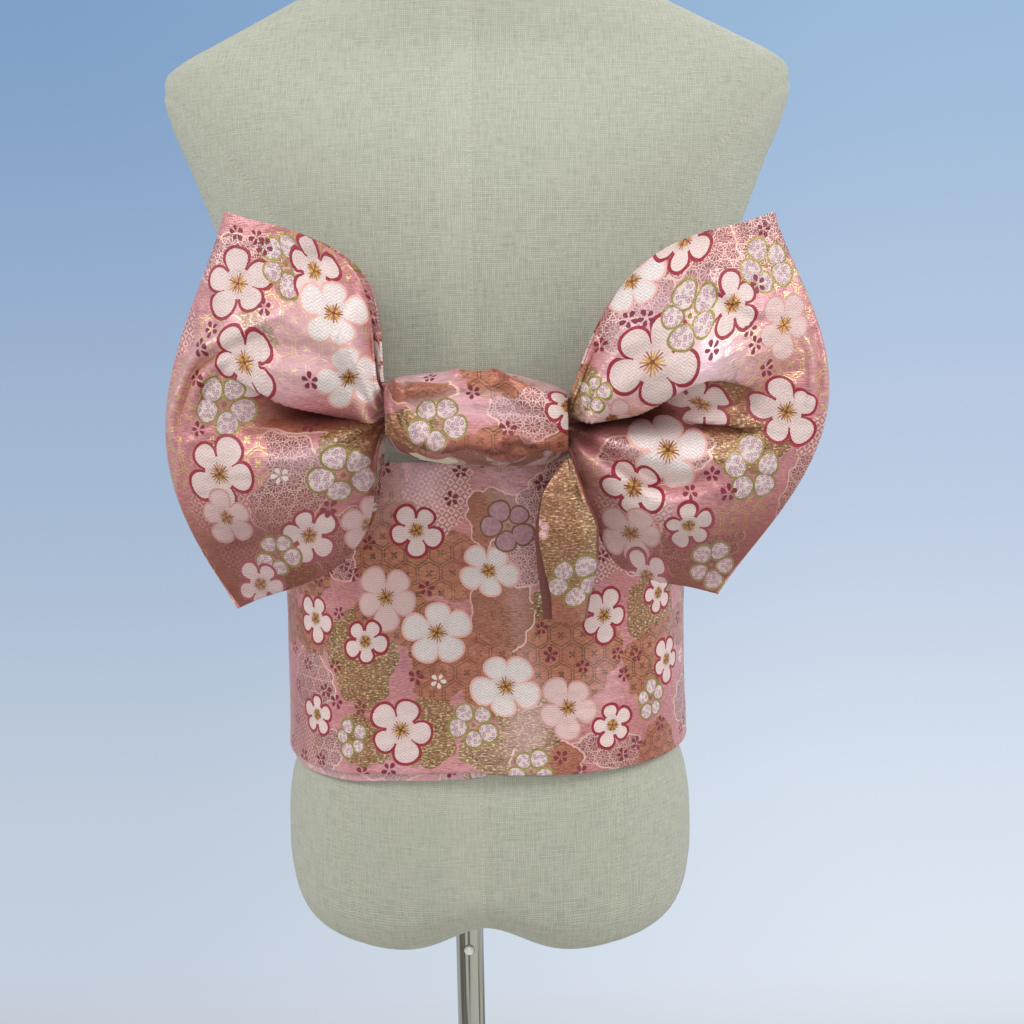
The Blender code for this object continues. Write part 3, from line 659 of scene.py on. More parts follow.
def has_rings(kind):
    """The gilt and the mauve blossoms, whose petals stand apart and are strewn with rings."""
    return near(kind, (GILT + MAUVE) / 2, 0.6)


def chevrons(x, y):
    """Zigzag threads in upright columns, between -1 and 1."""
    column = magnitude(folded(x, CHEVRON_COLUMN, -CHEVRON_COLUMN))
    return sine((y + column * CHEVRON_SLOPE) * (ROUND / CHEVRON_PITCH))


def silk_threads(wires, x, y):
    return wires.grain(x * 0.9 + 40, y * 2.6, 0.0)


def blossom_place_group():
    """Where one blossom lies. look holds its radius, its kind and its squash. petal gives the
    place along and across the nearest petal and the heading; flower the reach and the kind."""
    outputs = (("cover", NUMBER), ("petal", VECTOR), ("flower", VECTOR))
    wires, start, end = group("blossom place", PLACE_INPUTS, outputs)
    u, v, seed = about_centre(wires, start)
    radius, kind, squash = wires.parts(start.outputs["look"])
    v = v / squash
    reach, heading = root(u * u + v * v) / radius, bearing(v, u)
    # Each petal has its own length and leans its own way.
    petal = whole((heading + PETAL_HALF_TURN) / (2 * PETAL_HALF_TURN))
    grow = sine(petal * 2.3 + seed * 0.7) * 0.08 + 0.98
    tilt = sine(petal * 4.1 + seed) * 0.07
    lean = folded(heading, PETAL_HALF_TURN, -PETAL_HALF_TURN) - tilt
    far = reach / grow
    along, across = far * cosine(lean), far * sine(lean)
    small = is_small(kind)
    outline = petal_outline(wires, along, across, small)
    core = (reach < wires.blend(has_rings(kind), CORE, RINGED_CORE)) * (1 - small)
    wires.feed(end, {
        "cover": larger(outline < 1.0, core) * (kind > 0.5),
        "petal": wires.vector(along, across, heading),
        "flower": wires.vector(reach, radius, kind),
    })
    return wires.tree


def blossom_weave_group():
    """The threads of a blossom: outline, petals and stamens."""
    inputs = (("cloth", VECTOR), ("petal", VECTOR), ("flower", VECTOR))
    outputs = (("colour", COLOUR), ("metal", NUMBER))
    wires, start, end = group("blossom weave", inputs, outputs)
    x, y, _ = wires.parts(start.outputs["cloth"])
    along, across, heading = wires.parts(start.outputs["petal"])
    reach, radius, kind = wires.parts(start.outputs["flower"])
    small, ringed = is_small(kind), has_rings(kind)
    outline = petal_outline(wires, along, across, small)
    edge_colour, edge_half = wires.by_kind(
        kind, [(*colour(*edge)[:3], half) for edge, half, _ in BLOSSOM_THREADS])
    petals, _ = wires.by_kind(kind, [colour(*petal) for _, _, petal in BLOSSOM_THREADS])
    edge = (outline > 1 - edge_half * 5.2 / radius) * (edge_half > 0.01)
    edge = edge * (reach > 0.42 - ringed * 0.42)
    # Chevrons in the white blossoms and the large crimson ones, fine cross lines in the others.
    lines = sine((y + x * LINE_SLOPE) * (ROUND / LINE_PITCH)) * 0.5 + 0.5
    large_crimson = near(kind, CRIMSON, 0.1) * (radius > CHEVRON_RADIUS)
    zigzag = larger(near(kind, HERRINGBONE, 0.1), large_crimson)
    weave = wires.blend(zigzag, lines * 0.7, chevrons(x, y) * 0.5 + 0.5) * (1 - small)
    threads = (weave * 0.34 + silk_threads(wires, x, y) * 0.34) * (1 - small)
    body = wires.mix(threads, petals, colour(170, 138, 142))
    # Painted shade towards each petal's outline, so the petals look raised.
    painted_edge_shade = wires.math("POWER", outline, 5.0, clamp=True) * (0.26 - small * 0.26)
    body = wires.mix(painted_edge_shade, body, colour(186, 138, 146))
    # Little rings strewn over the gilt and the mauve ones.
    ring = near(wires.cells(x * 0.5, y * 0.5), 0.27, 0.12) * ringed
    body = wires.mix(ring * 0.75, body, colour(166, 112, 138))
    body = wires.mix(edge, body, edge_colour)
    # Stamens: a burst of gold and rust threads of uneven length, over a faint blush.
    plain = (1 - small) * (1 - ringed)
    arc = magnitude(sine(heading * STAMEN_WAVES)) * reach * radius / STAMEN_WAVES
    tip = sine(heading * 5.0 + radius) * 0.02 + sine(heading * 13.0) * 0.03 + STAMEN_REACH
    ray = (arc < STAMEN_HALF) * (reach < tip) * plain
    body = wires.mix((reach < 0.36) * plain * 0.12, body, colour(206, 164, 146))
    turn_about = sine(heading * (STAMEN_WAVES / 2)) * 0.5 + 0.5
    body = wires.mix(ray, body, wires.mix(turn_about, colour(140, 78, 46), colour(198, 156, 84)))
    body = wires.mix((reach < 0.05) * plain, body, colour(112, 62, 40))
    pip = (reach < 0.08) * ringed * (1 - small)
    body = wires.mix(pip, body, colour(150, 130, 76))
    wires.feed(end, {"colour": body, "metal": larger(ray * 0.5, edge * ringed * 0.7)})
    return wires.tree


def patch_place_group():
    """Where one patch of background figure lies. look holds its half width, kind and half
    height. Its outline is scalloped like a cloud."""
    outputs = (("cover", NUMBER), ("rim", NUMBER), ("kind", NUMBER))
    wires, start, end = group("patch place", PLACE_INPUTS, outputs)
    u, v, seed = about_centre(wires, start)
    wide, kind, high = wires.parts(start.outputs["look"])
    a, b = u / wide, v / high
    heading = bearing(b, a)
    scallop = magnitude(sine(heading * SCALLOPS + seed)) * 0.12
    scallop = scallop + magnitude(sine(heading * FINE_SCALLOPS + seed * 2.0)) * 0.06
    wander = sine(heading * 3.0 + seed) * 0.10 + sine(heading * 2.0 - seed) * 0.08
    reach = root(a * a + b * b) - scallop + wander
    cover = (reach < 1.0) * (kind > 0.5)
    rim = (reach > 1 - PATCH_RIM / smaller(wide, high)) * cover
    wires.feed(end, {"cover": cover, "rim": rim, "kind": kind})
    return wires.tree


def honeycomb(wires, x, y, cell):
    """The place in a six-sided cell: across and up from its middle, and straight from it."""
    tall = cell * math.sqrt(3)
    ax, bx = (folded(x + k, cell / 2, -cell / 2) for k in (0.0, cell / 2))
    ay, by = (folded(y + k, tall / 2, -tall / 2) for k in (0.0, tall / 2))
    first, second = ax * ax + ay * ay, bx * bx + by * by
    closer = first < second
    across, up = magnitude(wires.blend(closer, bx, ax)), magnitude(wires.blend(closer, by, ay))
    return across, up, root(smaller(first, second))


def figure_group():
    """The background figures, by kind: satin, gilt cloud, tortoise-shell net, nested diamonds,
    flower rays, copper, and the net again in paler threads."""
    inputs = (("cloth", VECTOR), ("kind", NUMBER), ("thread", NUMBER))
    outputs = (("colour", COLOUR), ("metal", NUMBER))
    wires, start, end = group("ground figure", inputs, outputs)
    x, y, _ = wires.parts(start.outputs["cloth"])
    kind, thread = wires.values(start, "kind", "thread")

    # A net of lines with an outlined four-petalled flower in each cell.
    across, up, centre = honeycomb(wires, x, y, NET_CELL)
    to_edge = NET_CELL / 2 - larger(across, across * 0.5 + up * (math.sqrt(3) / 2))
    petal = magnitude(sine(bearing(up, across) * 2.0)) * 2.0 + 0.1 - centre
    net = larger(near(to_edge, NET_LINE_AT, NET_LINE_HALF), petal > 0.0)
    # Nested diamonds.
    dx, dy = (magnitude(folded(k, DIAMOND_TILE / 2, -DIAMOND_TILE / 2)) for k in (x, y))
    diamond = sine((dx + dy) * (ROUND / DIAMOND_PITCH)) > 0.30
    # Flower heads of narrow rays with an arched rim.
    across, up, centre = honeycomb(wires, x, y, RAY_CELL)
    swing = magnitude(sine(bearing(up, across) * RAY_WAVES))
    rays = (swing * centre / RAY_WAVES < RAY_HALF) * (centre > 0.8)
    bloom = larger(rays, near(centre - swing * 0.6, ARCH_AT, ARCH_HALF))
    mottle = wires.step(wires.grain(x * 0.75 + 70, y * 1.25, 2.0, 0.8), 0.5, 0.035)
    dash = wires.grain(x * 0.55 + 90, y * 1.3, 0.0) > 0.68

    cloud, diamonds, flower, copper = (near(kind, k, 0.2) for k in (CLOUD, DIAMOND, RAYS, COPPER))
    shell = near(kind, TORTOISE, 0.2) + near(kind, NET, 0.2)
    drawn = mottle * (cloud + copper * 0.7) + net * shell + diamond * diamonds + bloom * flower
    field, lines = (wires.by_kind(kind, [colour(*row[k]) for row in FIGURE_THREADS])[0]
                    for k in (0, 1))
    body = wires.mix(drawn, field, lines)
    body = wires.mix(dash * cloud, body, colour(232, 206, 160))
    dark = wires.mix(0.30, body, colour(92, 44, 38))
    light = wires.mix(0.19, body, colour(250, 210, 188))
    metal = cloud * 0.10 + shell * net * 0.40 - copper * 0.15
    wires.feed(end, {"colour": wires.mix(thread, dark, light), "metal": metal})
    return wires.tree


def patches_under(wires, cloth):
    """The kind of background figure at each place, and whether the place is on its rim."""
    tree, kind, rim = patch_place_group(), None, None
    for slot in range(PATCH_SLOTS):
        made = wires.motif(tree, cloth, f"patch_{slot}")
        cover, on_rim, its_kind = wires.values(made, "cover", "rim", "kind")
        kind = its_kind * cover if kind is None else wires.blend(cover, kind, its_kind)
        rim = on_rim if rim is None else wires.blend(cover, rim, on_rim)
    return kind, rim


def blossoms_over(wires, cloth):
    """Whether a blossom covers each place, and the place in the uppermost one."""
    tree, covered, petal, flower = blossom_place_group(), None, None, None
    for slot in range(BLOSSOM_SLOTS):
        made = wires.motif(tree, cloth, f"blossom_{slot}")
        cover, = wires.values(made, "cover")
        if covered is None:
            covered, petal, flower = cover, made.outputs["petal"], made.outputs["flower"]
            continue
        covered = larger(covered, cover)
        petal = wires.choose(cover, petal, made.outputs["petal"])
        flower = wires.choose(cover, flower, made.outputs["flower"])
    return covered, petal, flower


def brocade_finish():
    """Satin in dusty pink, with patches of background figure under raised blossoms. The UV map
    is the cloth's own flat measure in millimetres, and each face names the motifs on it."""
    material, wires, shader = finish_material("brocade")
    cloth = wires.cloth()
    x, y, _ = wires.parts(cloth)
    # Weft threads lie across, slightly uneven.
    thread = wires.grain(x * 0.36, y * 1.7)
    kind, rim = patches_under(wires, cloth)
    figure = wires.node("ShaderNodeGroup", node_tree=figure_group())
    wires.feed(figure, {"cloth": cloth, "kind": kind, "thread": share(thread, 2.4, -0.7)})
    # Only the flower rays and the copper have a pale rim.
    rim = rim * near(kind, (RAYS + COPPER) / 2, 0.6)
    ground = wires.mix(rim, figure.outputs["colour"], colour(236, 196, 182))
    # The dye runs from mauve to peach and from deep to pale.
    dyed = wires.grain(x * 0.045 + 20, y * 0.07, 2.0, 0.6)
    ground = wires.mix(share(dyed, 2.0, -0.9) * 0.26, ground, colour(228, 158, 138))
    ground = wires.mix(share(dyed, -2.4, 1.0) * 0.42, ground, colour(146, 84, 104))
    covered, petal, flower = blossoms_over(wires, cloth)
    blossom = wires.node("ShaderNodeGroup", node_tree=blossom_weave_group())
    wires.feed(blossom, {"cloth": cloth, "petal": petal, "flower": flower})
    # Painted shade turns the ground rust, then dark, in the folds and on undersides; painted highlight
    # turns it pale lavender on the crowns; painted shade also dims the petals a little.
    painted_shading = wires.number("painted_light")
    ground = wires.mix(share(painted_shading, 0.60), ground, colour(158, 80, 68))
    ground = wires.mix(wires.step(painted_shading, 1.05, 0.55) * 0.62, ground, colour(74, 36, 28))
    ground = wires.mix(share(painted_shading, -0.60), ground, colour(242, 206, 216))
    petals = wires.mix(share(painted_shading, 0.50, -0.16), blossom.outputs["colour"], colour(150, 108, 114))
    look = wires.mix(covered, ground, petals)
    on_figure, on_blossom = (wires.values(made, "metal")[0] for made in (figure, blossom))
    metal = wires.blend(covered, on_figure + 0.26, on_blossom)
    # The ground is raised in threads, the blossoms in chevrons of silk.
    warp = wires.grain(x * 1.9, y * 0.5, 0.0)
    # Soft satin never lies quite flat: shallow dimples a centimetre or so across.
    dimple = wires.grain(x * 0.085 + 60, y * 0.15, 1.0, 0.45) * 1.7
    on_ground = wires.bump(thread * 0.24 + warp * 0.12 + dimple, 0.9)
    on_petals = wires.bump(silk_threads(wires, x, y) * 0.12 + chevrons(x, y) * 0.07 + dimple, 0.9)
    # The plain reverse of the cloth shows at the knot's inner end.
    reverse = wires.number("reverse_side")
    look = wires.mix(reverse, look, wires.mix(thread, colour(214, 200, 176), colour(238, 228, 208)))
    wires.feed(shader, {
        "Base Color": look,
        "Metallic": metal * (1 - reverse),
        "Roughness": wires.blend(larger(covered, reverse), 0.38, 0.48) + thread * 0.08,
        "Normal": wires.choose(covered, on_ground, on_petals),
        "Sheen Weight": 0.18,
        "Sheen Roughness": 0.35,
        "Sheen Tint": colour(255, 214, 210),
        "Specular IOR Level": 0.6,
    })
    return material


def linen_finish():
    """Slubby greenish-beige linen with stitched seams."""
    material, wires, shader = finish_material("linen")
    x, y, _ = wires.parts(wires.cloth())
    pitch, stitch, line_half, stitch_half, groove_half = 0.95, 2.4, 0.32, 0.55, 1.6
    slub_x = wires.grain(x * 0.85, y * 0.09)
    slub_y = wires.grain(x * 0.09 + 50, y * 0.85)
    warp = sine((x + slub_y * 0.8) * (ROUND / pitch)) * 0.5 + 0.5
    weft = sine((y + slub_x * 0.8) * (ROUND / pitch)) * 0.5 + 0.5
    weave = larger(warp * (slub_x * 1.7 - 0.05), weft * (slub_y * 1.7 - 0.05))
    body = wires.mix(share(weave, 1.15), colour(142, 144, 129), colour(192, 195, 181))
    cloudy = wires.grain(x * 0.02, y * 0.012 + 30, 2.0)
    body = wires.mix(cloudy * 0.30, body, colour(182, 184, 166))
    fleck = wires.grain(x * 1.4, y * 0.35 + 60) > 0.66
    body = wires.mix(fleck * 0.18, body, colour(230, 228, 210))
    # A faint paler strip beside the middle seam.
    body = wires.mix(near(x, -7.0, 8.0) * 0.06, body, colour(226, 226, 208))
    line, sewn, groove = None, None, None
    for seam, run_name in (("seam_middle", "run_up"), ("seam_side", "run_up"), ("seam_arm", "run_arm")):
        gap = magnitude(wires.number(seam))
        stitched = sine(wires.number(run_name) * (ROUND / stitch)) > -0.25
        marks = (gap < line_half, (gap < stitch_half) * stitched,
                 1 - smaller(gap, groove_half) / groove_half)
        if line is None:
            line, sewn, groove = marks
            continue
        line, sewn, groove = map(larger, (line, sewn, groove), marks)
    body = wires.mix(line * 0.16, body, colour(120, 120, 98))
    body = wires.mix(sewn * 0.30, body, colour(222, 214, 184))
    wires.feed(shader, {
        "Base Color": body,
        "Roughness": 0.92 - weave * 0.08,
        "Normal": wires.bump(weave * 0.20 - groove * 0.25 + sewn * 0.12, 0.7),
        "Sheen Weight": 0.1,
        "Specular IOR Level": 0.25,
    })
    return material


def chrome_finish():
    """Bright plating with a faint drawn grain and a few finger marks."""
    material, wires, shader = finish_material("chrome plate")
    x, y, z = wires.parts(wires.place())
    grain = wires.noise(wires.vector(x * 420, y * 420, z * 6), 1.0, 3.0, 0.6)
    marks = wires.noise(wires.vector(x * 60, y * 60, z * 40), 1.0, 3.0)
    # Painted reflection: upright dark and bright streaks in the base colour stand in for a dim room
    # mirrored in the plating.
    painted_reflection = wires.noise(wires.vector(x * 330 + 5, y * 330, z * 3), 1.0, 2.0, 0.6)
    body = wires.mix(wires.step(painted_reflection, 0.50, 0.07), colour(92, 92, 84), colour(206, 206, 196))
    wires.feed(shader, {
        "Base Color": wires.mix(grain * 0.35, body, colour(170, 170, 164)),
        "Roughness": marks * 0.10 + 0.06,
        "Normal": wires.bump(grain * 0.10, 0.5),
        "Metallic": 1.0,
    })
    return material


def steel_finish():
    """Brushed spring steel of the hook."""
    material, wires, shader = finish_material("spring steel")
    x, y, z = wires.parts(wires.place())
    brushed = wires.noise(wires.vector(x * 200, y * 200, z * 2500), 1.0, 2.0)
    wires.feed(shader, {
        "Base Color": wires.mix(brushed, colour(140, 142, 146), colour(196, 198, 202)),
        "Roughness": brushed * 0.15 + 0.28,
        "Metallic": 1.0,
    })
    return material


def nickel_finish():
    """Bright polished nickel of the sprung button."""
    material, wires, shader = finish_material("polished nickel")
    marks = wires.noise(wires.place(), 700, 2.0)
    wires.feed(shader, {
        "Base Color": wires.mix(marks * 0.3, colour(248, 248, 244), colour(214, 214, 208)),
        "Roughness": marks * 0.12 + 0.16,
        "Metallic": 0.25,
    })
    return material


def painted_finish():
    """Off-white powder coat with its fine orange-peel."""
    material, wires, shader = finish_material("powder coat")
    place = wires.place()
    peel, wear = wires.noise(place, 900, 2.0), wires.noise(place, 22, 4.0)
    wires.feed(shader, {
        "Base Color": wires.mix(wear * 0.3, colour(236, 236, 232), colour(222, 220, 214)),
        "Roughness": wear * 0.12 + 0.34,
        "Normal": wires.bump(peel * 0.05, 0.5),
    })
    return material


def cap_finish():
    """Pale satin plastic of the neck cap."""
    material, wires, shader = finish_material("neck cap")
    cloudy = wires.noise(wires.place(), 30, 3.0)
    wires.feed(shader, {
        "Base Color": wires.mix(cloudy * 0.4, colour(226, 218, 196), colour(212, 204, 180)),
        "Roughness": cloudy * 0.12 + 0.42,
    })
    return material


# ---- making pieces ----------------------------------------------------------------------
def pick(piece):
    """Makes this piece the only one that operators act on."""
    bpy.ops.object.select_all(action="DESELECT")
    bpy.context.view_layer.objects.active = piece
    piece.select_set(True)


def read(items, name, width=1, kind=float):
    """One property of every point, face or corner, as an array."""
    values = np.empty(len(items) * width, kind)
    items.foreach_get(name, values)
    return values.reshape(-1, width) if width > 1 else values


def mark(piece, name, values, domain="POINT"):
    """Writes a number on every point or face, for the finishes to read."""
    layer = piece.data.attributes.new(name, "FLOAT", domain)
    layer.data.foreach_set("value", np.asarray(values, np.float32))


def lattice(name, across, up):
    """A grid primitive whose points are given places by shape()."""
    bpy.ops.object.select_all(action="DESELECT")
    bpy.ops.mesh.primitive_grid_add(x_subdivisions=across, y_subdivisions=up, size=2.0)
    piece = bpy.context.object
    piece.name = piece.data.name = name
    flat = read(piece.data.vertices, "co", 3)
    column = np.rint((flat[:, 0] + 1) / 2 * across).astype(int)
    row = np.rint((flat[:, 1] + 1) / 2 * up).astype(int)
    return piece, column, row


def shape(piece, column, row, points, cloth):
    """Moves a lattice to points, an array [across, up, 3] in millimetres from the form's middle,
    and writes cloth, an array [across, up, 2], as its UV map."""
    places = points[column, row].copy()
    places[:, 0] += FORM_X
    mesh = piece.data
    mesh.vertices.foreach_set("co", (places * MM).ravel())
    layer = mesh.uv_layers[0]
    layer.name = "cloth"
    corner = read(mesh.loops, "vertex_index", kind=int)
    layer.uv.foreach_set("vector", cloth[column, row][corner].ravel())
    mesh.update()


def edit(piece, *steps):
    """Runs edit-mode operators on the whole piece."""
    pick(piece)
    bpy.ops.object.mode_set(mode="EDIT")
    bpy.ops.mesh.select_all(action="SELECT")
    for step in steps:
        step()
    bpy.ops.object.mode_set(mode="OBJECT")


def weld(distance=1e-6):
    return lambda: bpy.ops.mesh.remove_doubles(threshold=distance)


def apply(piece, kind, **settings):
    modifier = piece.modifiers.new(kind.lower(), kind)
    for name, value in settings.items():
        setattr(modifier, name, value)
    pick(piece)
    bpy.ops.object.modifier_apply(modifier=modifier.name)


def round_edges(piece, width, segments, over=30.0):
    """Bevels each edge that turns by more than over, in degrees. width is in millimetres."""
    apply(piece, "BEVEL", width=width * MM, segments=segments, limit_method="ANGLE",
          angle_limit=math.radians(over))


def smooth(piece, angle=50.0):
    pick(piece)
    bpy.ops.object.shade_smooth_by_angle(angle=math.radians(angle))


def cloth_wall(piece, wall, soft_edge):
    apply(piece, "SOLIDIFY", thickness=wall * MM, offset=0.0, use_even_offset=True, use_rim=True)
    round_edges(piece, soft_edge, 2, 60.0)
    smooth(piece)


def along_rows(gaps, axis):
    """Distances from the start of each row, from the gaps between its points."""
    start = np.zeros_like(np.take(gaps, [0], axis=axis))
    return np.concatenate([start, np.cumsum(gaps, axis=axis)], axis=axis)


def ring_measure(points):
    """Distance along each ring from its start, in the first direction of the lattice."""
    return along_rows(np.linalg.norm(np.diff(points, axis=0), axis=2), 0)


# ---- laying out the weave ---------------------------------------------------------------
class Chart:
    """Motifs on one piece of cloth, in its flat measure. Each is a place, a turn, a size, a kind
    and its squash, or its half height for a patch."""

    def __init__(self, points, cloth, seen, round_length=None):
        self.points, self.cloth, self.seen = points, cloth, seen
        self.round_length = round_length
        self.patches, self.blossoms = [], []
        self.charted = False
        self.draw = np.random.default_rng(SEED)

    def find(self, x, z):
        """The flat place of the seen point nearest this x and height."""
        gap = (self.points[..., 0] - x) ** 2 + (self.points[..., 2] - z) ** 2
        gap = np.where(self.seen, gap, np.inf)
        return self.cloth[np.unravel_index(np.argmin(gap), gap.shape)]

    def lay(self, patches, blossoms, small=()):
        """Motifs from the tables, where they are seen."""
        self.charted = True
        draw = self.draw
        for kind, x, z, wide, high in patches:
            self.patches.append((*self.find(x, z), draw.uniform(-0.3, 0.3), wide, kind, high))
        for kind, x, z, radius, turn in blossoms:
            squash = draw.uniform(0.9, 1.06)
            self.blossoms.append((*self.find(x, z), math.radians(turn), radius, kind, squash))
        self.lay_small(small, WINE)

    def lay_small(self, places, kind):
        for x, z in places:
            self.add_small(*self.find(x, z), kind)

    def add_small(self, u, v, kind):
        turn = self.draw.uniform(*ANY_TURN)
        self.blossoms.append((u, v, turn, self.draw.uniform(*SMALL_RADIUS), kind, 1.0))

    def copies(self, u):
        """A place on a closed band is also one turn before and after."""
        if self.round_length is None:
            return (u,)
        return (u, u - self.round_length, u + self.round_length)

    def clear(self, u, v, room, motifs, times):
        """Whether no motif lies nearer than room and a part of its own size."""
        return all(
            math.hypot(u - a, v - m[1]) > room + times * m[3]
            for m in motifs for a in self.copies(m[0])
        )

    def fill(self, tries, pale=False):
        """Strews the rest of the cloth, where the chart above says nothing. Charted cloth that
        is seen gets patches and small blossoms only."""
        shown = self.cloth[self.seen][::7]
        low, high = self.cloth.reshape(-1, 2).min(axis=0), self.cloth.reshape(-1, 2).max(axis=0)
        draw = self.draw

        def to_seen(u, v):
            return np.hypot(shown[:, 0] - u, shown[:, 1] - v).min()

        for _ in range(tries):
            u, v = draw.uniform(low, high)
            wide, tall = draw.uniform(*PATCH_WIDE), draw.uniform(*PATCH_TALL)
            if self.clear(u, v, wide * 0.62, self.patches, 0.8):
                kinds, shares = PALE_FIGURES if pale and to_seen(u, v) < wide else FIGURES
                kind = draw.choice(kinds, p=shares)
                self.patches.append((u, v, draw.uniform(-0.6, 0.6), wide, int(kind), tall))
        for _ in range(tries * 2):
            u, v = draw.uniform(low, high)
            radius = draw.uniform(*BLOSSOM_RADIUS)
            if self.charted and to_seen(u, v) < radius * 0.9:
                continue
            if self.clear(u, v, radius * 0.94, self.blossoms, 0.94):
                kinds, shares = BLOSSOM_KINDS
                kind = draw.choice(kinds, p=shares)
                turn = draw.uniform(*ANY_TURN)
                self.blossoms.append((u, v, turn, radius, int(kind), draw.uniform(0.86, 1.06)))
        for _ in range(tries):
            u, v = draw.uniform(low, high)
            seen = self.charted and to_seen(u, v) < 4
            if self.clear(u, v, SMALL_ROOM_SEEN if seen else SMALL_ROOM, self.blossoms, 1.0):
                self.add_small(u, v, WINE if draw.random() < WINE_SHARE else SMALL_WHITE)

    def weave_into(self, piece):
        """Writes on each face which motifs lie on it, the upper ones last."""
        mesh = piece.data
        uv = read(mesh.uv_layers[0].uv, "vector", 2)
        start = read(mesh.polygons, "loop_start", kind=int)
        size = read(mesh.polygons, "loop_total", kind=int)
        middle = np.add.reduceat(uv, start) / size[:, None]
        spread = np.abs(uv - np.repeat(middle, size, axis=0)).max(axis=1)
        half = np.maximum.reduceat(spread, start) * 1.5
        for label, motifs, slots in (("patch", self.patches, PATCH_SLOTS),
                                     ("blossom", self.blossoms, BLOSSOM_SLOTS)):
            at = np.tile((AWAY, AWAY, 0.0), (slots, len(size), 1))
            look = np.tile((1.0, 0.0, 1.0), (slots, len(size), 1))
            for u, v, turn, radius, kind, last in motifs:
                reach = 1.15 * (max(radius, last) if label == "patch" else radius)
                for a in self.copies(u):
                    on = np.hypot(middle[:, 0] - a, middle[:, 1] - v) < reach + half
                    for k in range(slots - 1):
                        at[k][on], look[k][on] = at[k + 1][on], look[k + 1][on]
                    at[-1][on] = (a, v, turn)
                    look[-1][on] = (radius, kind, last)
            for k in range(slots):
                for name, values in ((f"{label}_{k}_at", at[k]), (f"{label}_{k}_look", look[k])):
                    layer = mesh.attributes.new(name, "FLOAT_VECTOR", "FACE")
                    layer.data.foreach_set("vector", values.astype(np.float32).ravel())


def lay_cloth(name, points, cloth, painted_shading):
    """A lattice at its places, with the painted shade of each point: 1 for painted shade in a valley,
    under 0 for painted highlight on a crown."""
    piece, column, row = lattice(name, points.shape[0] - 1, points.shape[1] - 1)
    shape(piece, column, row, points, cloth)
    mark(piece, "painted_light", np.broadcast_to(painted_shading, points.shape[:2])[column, row])
    return piece, column, row


def write_weave(piece, chart, reverse=None):
    """Writes the motifs, and where the reverse of the cloth shows."""
    chart.weave_into(piece)
    plain = np.zeros(len(piece.data.polygons))
    mark(piece, "reverse_side", plain if reverse is None else reverse, "FACE")


def dress(piece, material, slot, *nodes):
    piece.data.materials.clear()
    piece.data.materials.append(material)
    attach(piece, "root")
    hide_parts(*nodes)


# ---- dress form -------------------------------------------------------------------------
def form_point(angle, height, out=0.0):
    """A point of the form's skin, or one this far outside it, from the form's middle."""
    levels = np.asarray(FORM_LEVELS, float)
    half, back, front, power = (
        soft_curve(levels[:, 0], levels[:, k], height) for k in (1, 2, 3, 4)
    )
    deep = np.where(np.sin(angle) < 0, back, front) + out
    c, s = np.cos(angle), np.sin(angle)
    x = (half + out) * np.sign(c) * np.abs(c) ** (2 / power)
    y = deep * np.sign(s) * np.abs(s) ** (2 / power)
    return np.stack(np.broadcast_arrays(x, y, height), axis=-1)


def directions(around):
    """Directions round the form from its front middle, in radians."""
    return np.radians(90 + 360 * np.arange(around + 1) / around)


def form_skin(around, levels, closing):
    """The form's skin from the middle of its underside to its top."""
    bottom = FORM_LEVELS[0][0]
    # Levels are closer together where the outline turns quickly.
    keys = (0, 0.10, 0.22, 0.60, 0.78, 0.90, 1.0)
    marks = (bottom, 285, 340, 640, 742, 790, FORM_TOP)
    heights = soft_curve(keys, marks, np.linspace(0, 1, levels + 1))
    heights = np.broadcast_to(heights, (around + 1, levels + 1))
    skin = form_point(directions(around)[:, None], heights)
    low = 1 - ease(273, 318, skin[..., 2])
    skin[..., 2] += FORM_RISE * hill(skin[..., 0], FORM_RISE_WIDTH) * low
    under = []
    for part in np.linspace(0, 1, closing, endpoint=False):
        ring = skin[:, 0].copy()
        ring[:, :2] *= part
        ring[:, 2] = bottom + FORM_RISE * hill(ring[:, 0], FORM_RISE_WIDTH)
        under.append(ring)
    return np.concatenate([np.stack(under, axis=1), skin], axis=1)


def seam_gaps(x, y, z):
    """Distances from the form's middle seam, its side seams and the seams of its arm plates."""
    far, side_top, arm_from_x = 50.0, 520, 60
    side_gap = np.abs(x) - SIDE_SEAM_X - 4 * np.sin((z - 300) / 70)
    side_gap = np.where(z < side_top, side_gap, far)
    heights, depths = np.asarray(ARM_SEAM, float).T
    low, high = heights[0], heights[-1]
    reach, ahead = (soft_curve(heights, depths, np.clip(z + k, low, high)) for k in (0, 1))
    arm_gap = (np.abs(y) - reach) / np.hypot(1.0, ahead - reach)
    beyond = np.where(z > ARM_MIDDLE, z - high, low - z)
    outside = np.maximum(beyond, 0.0) + np.abs(y) * 0.5
    arm_gap = np.where((z > low) & (z < high), arm_gap, outside)
    return x, side_gap, np.where(np.abs(x) > arm_from_x, arm_gap, far)


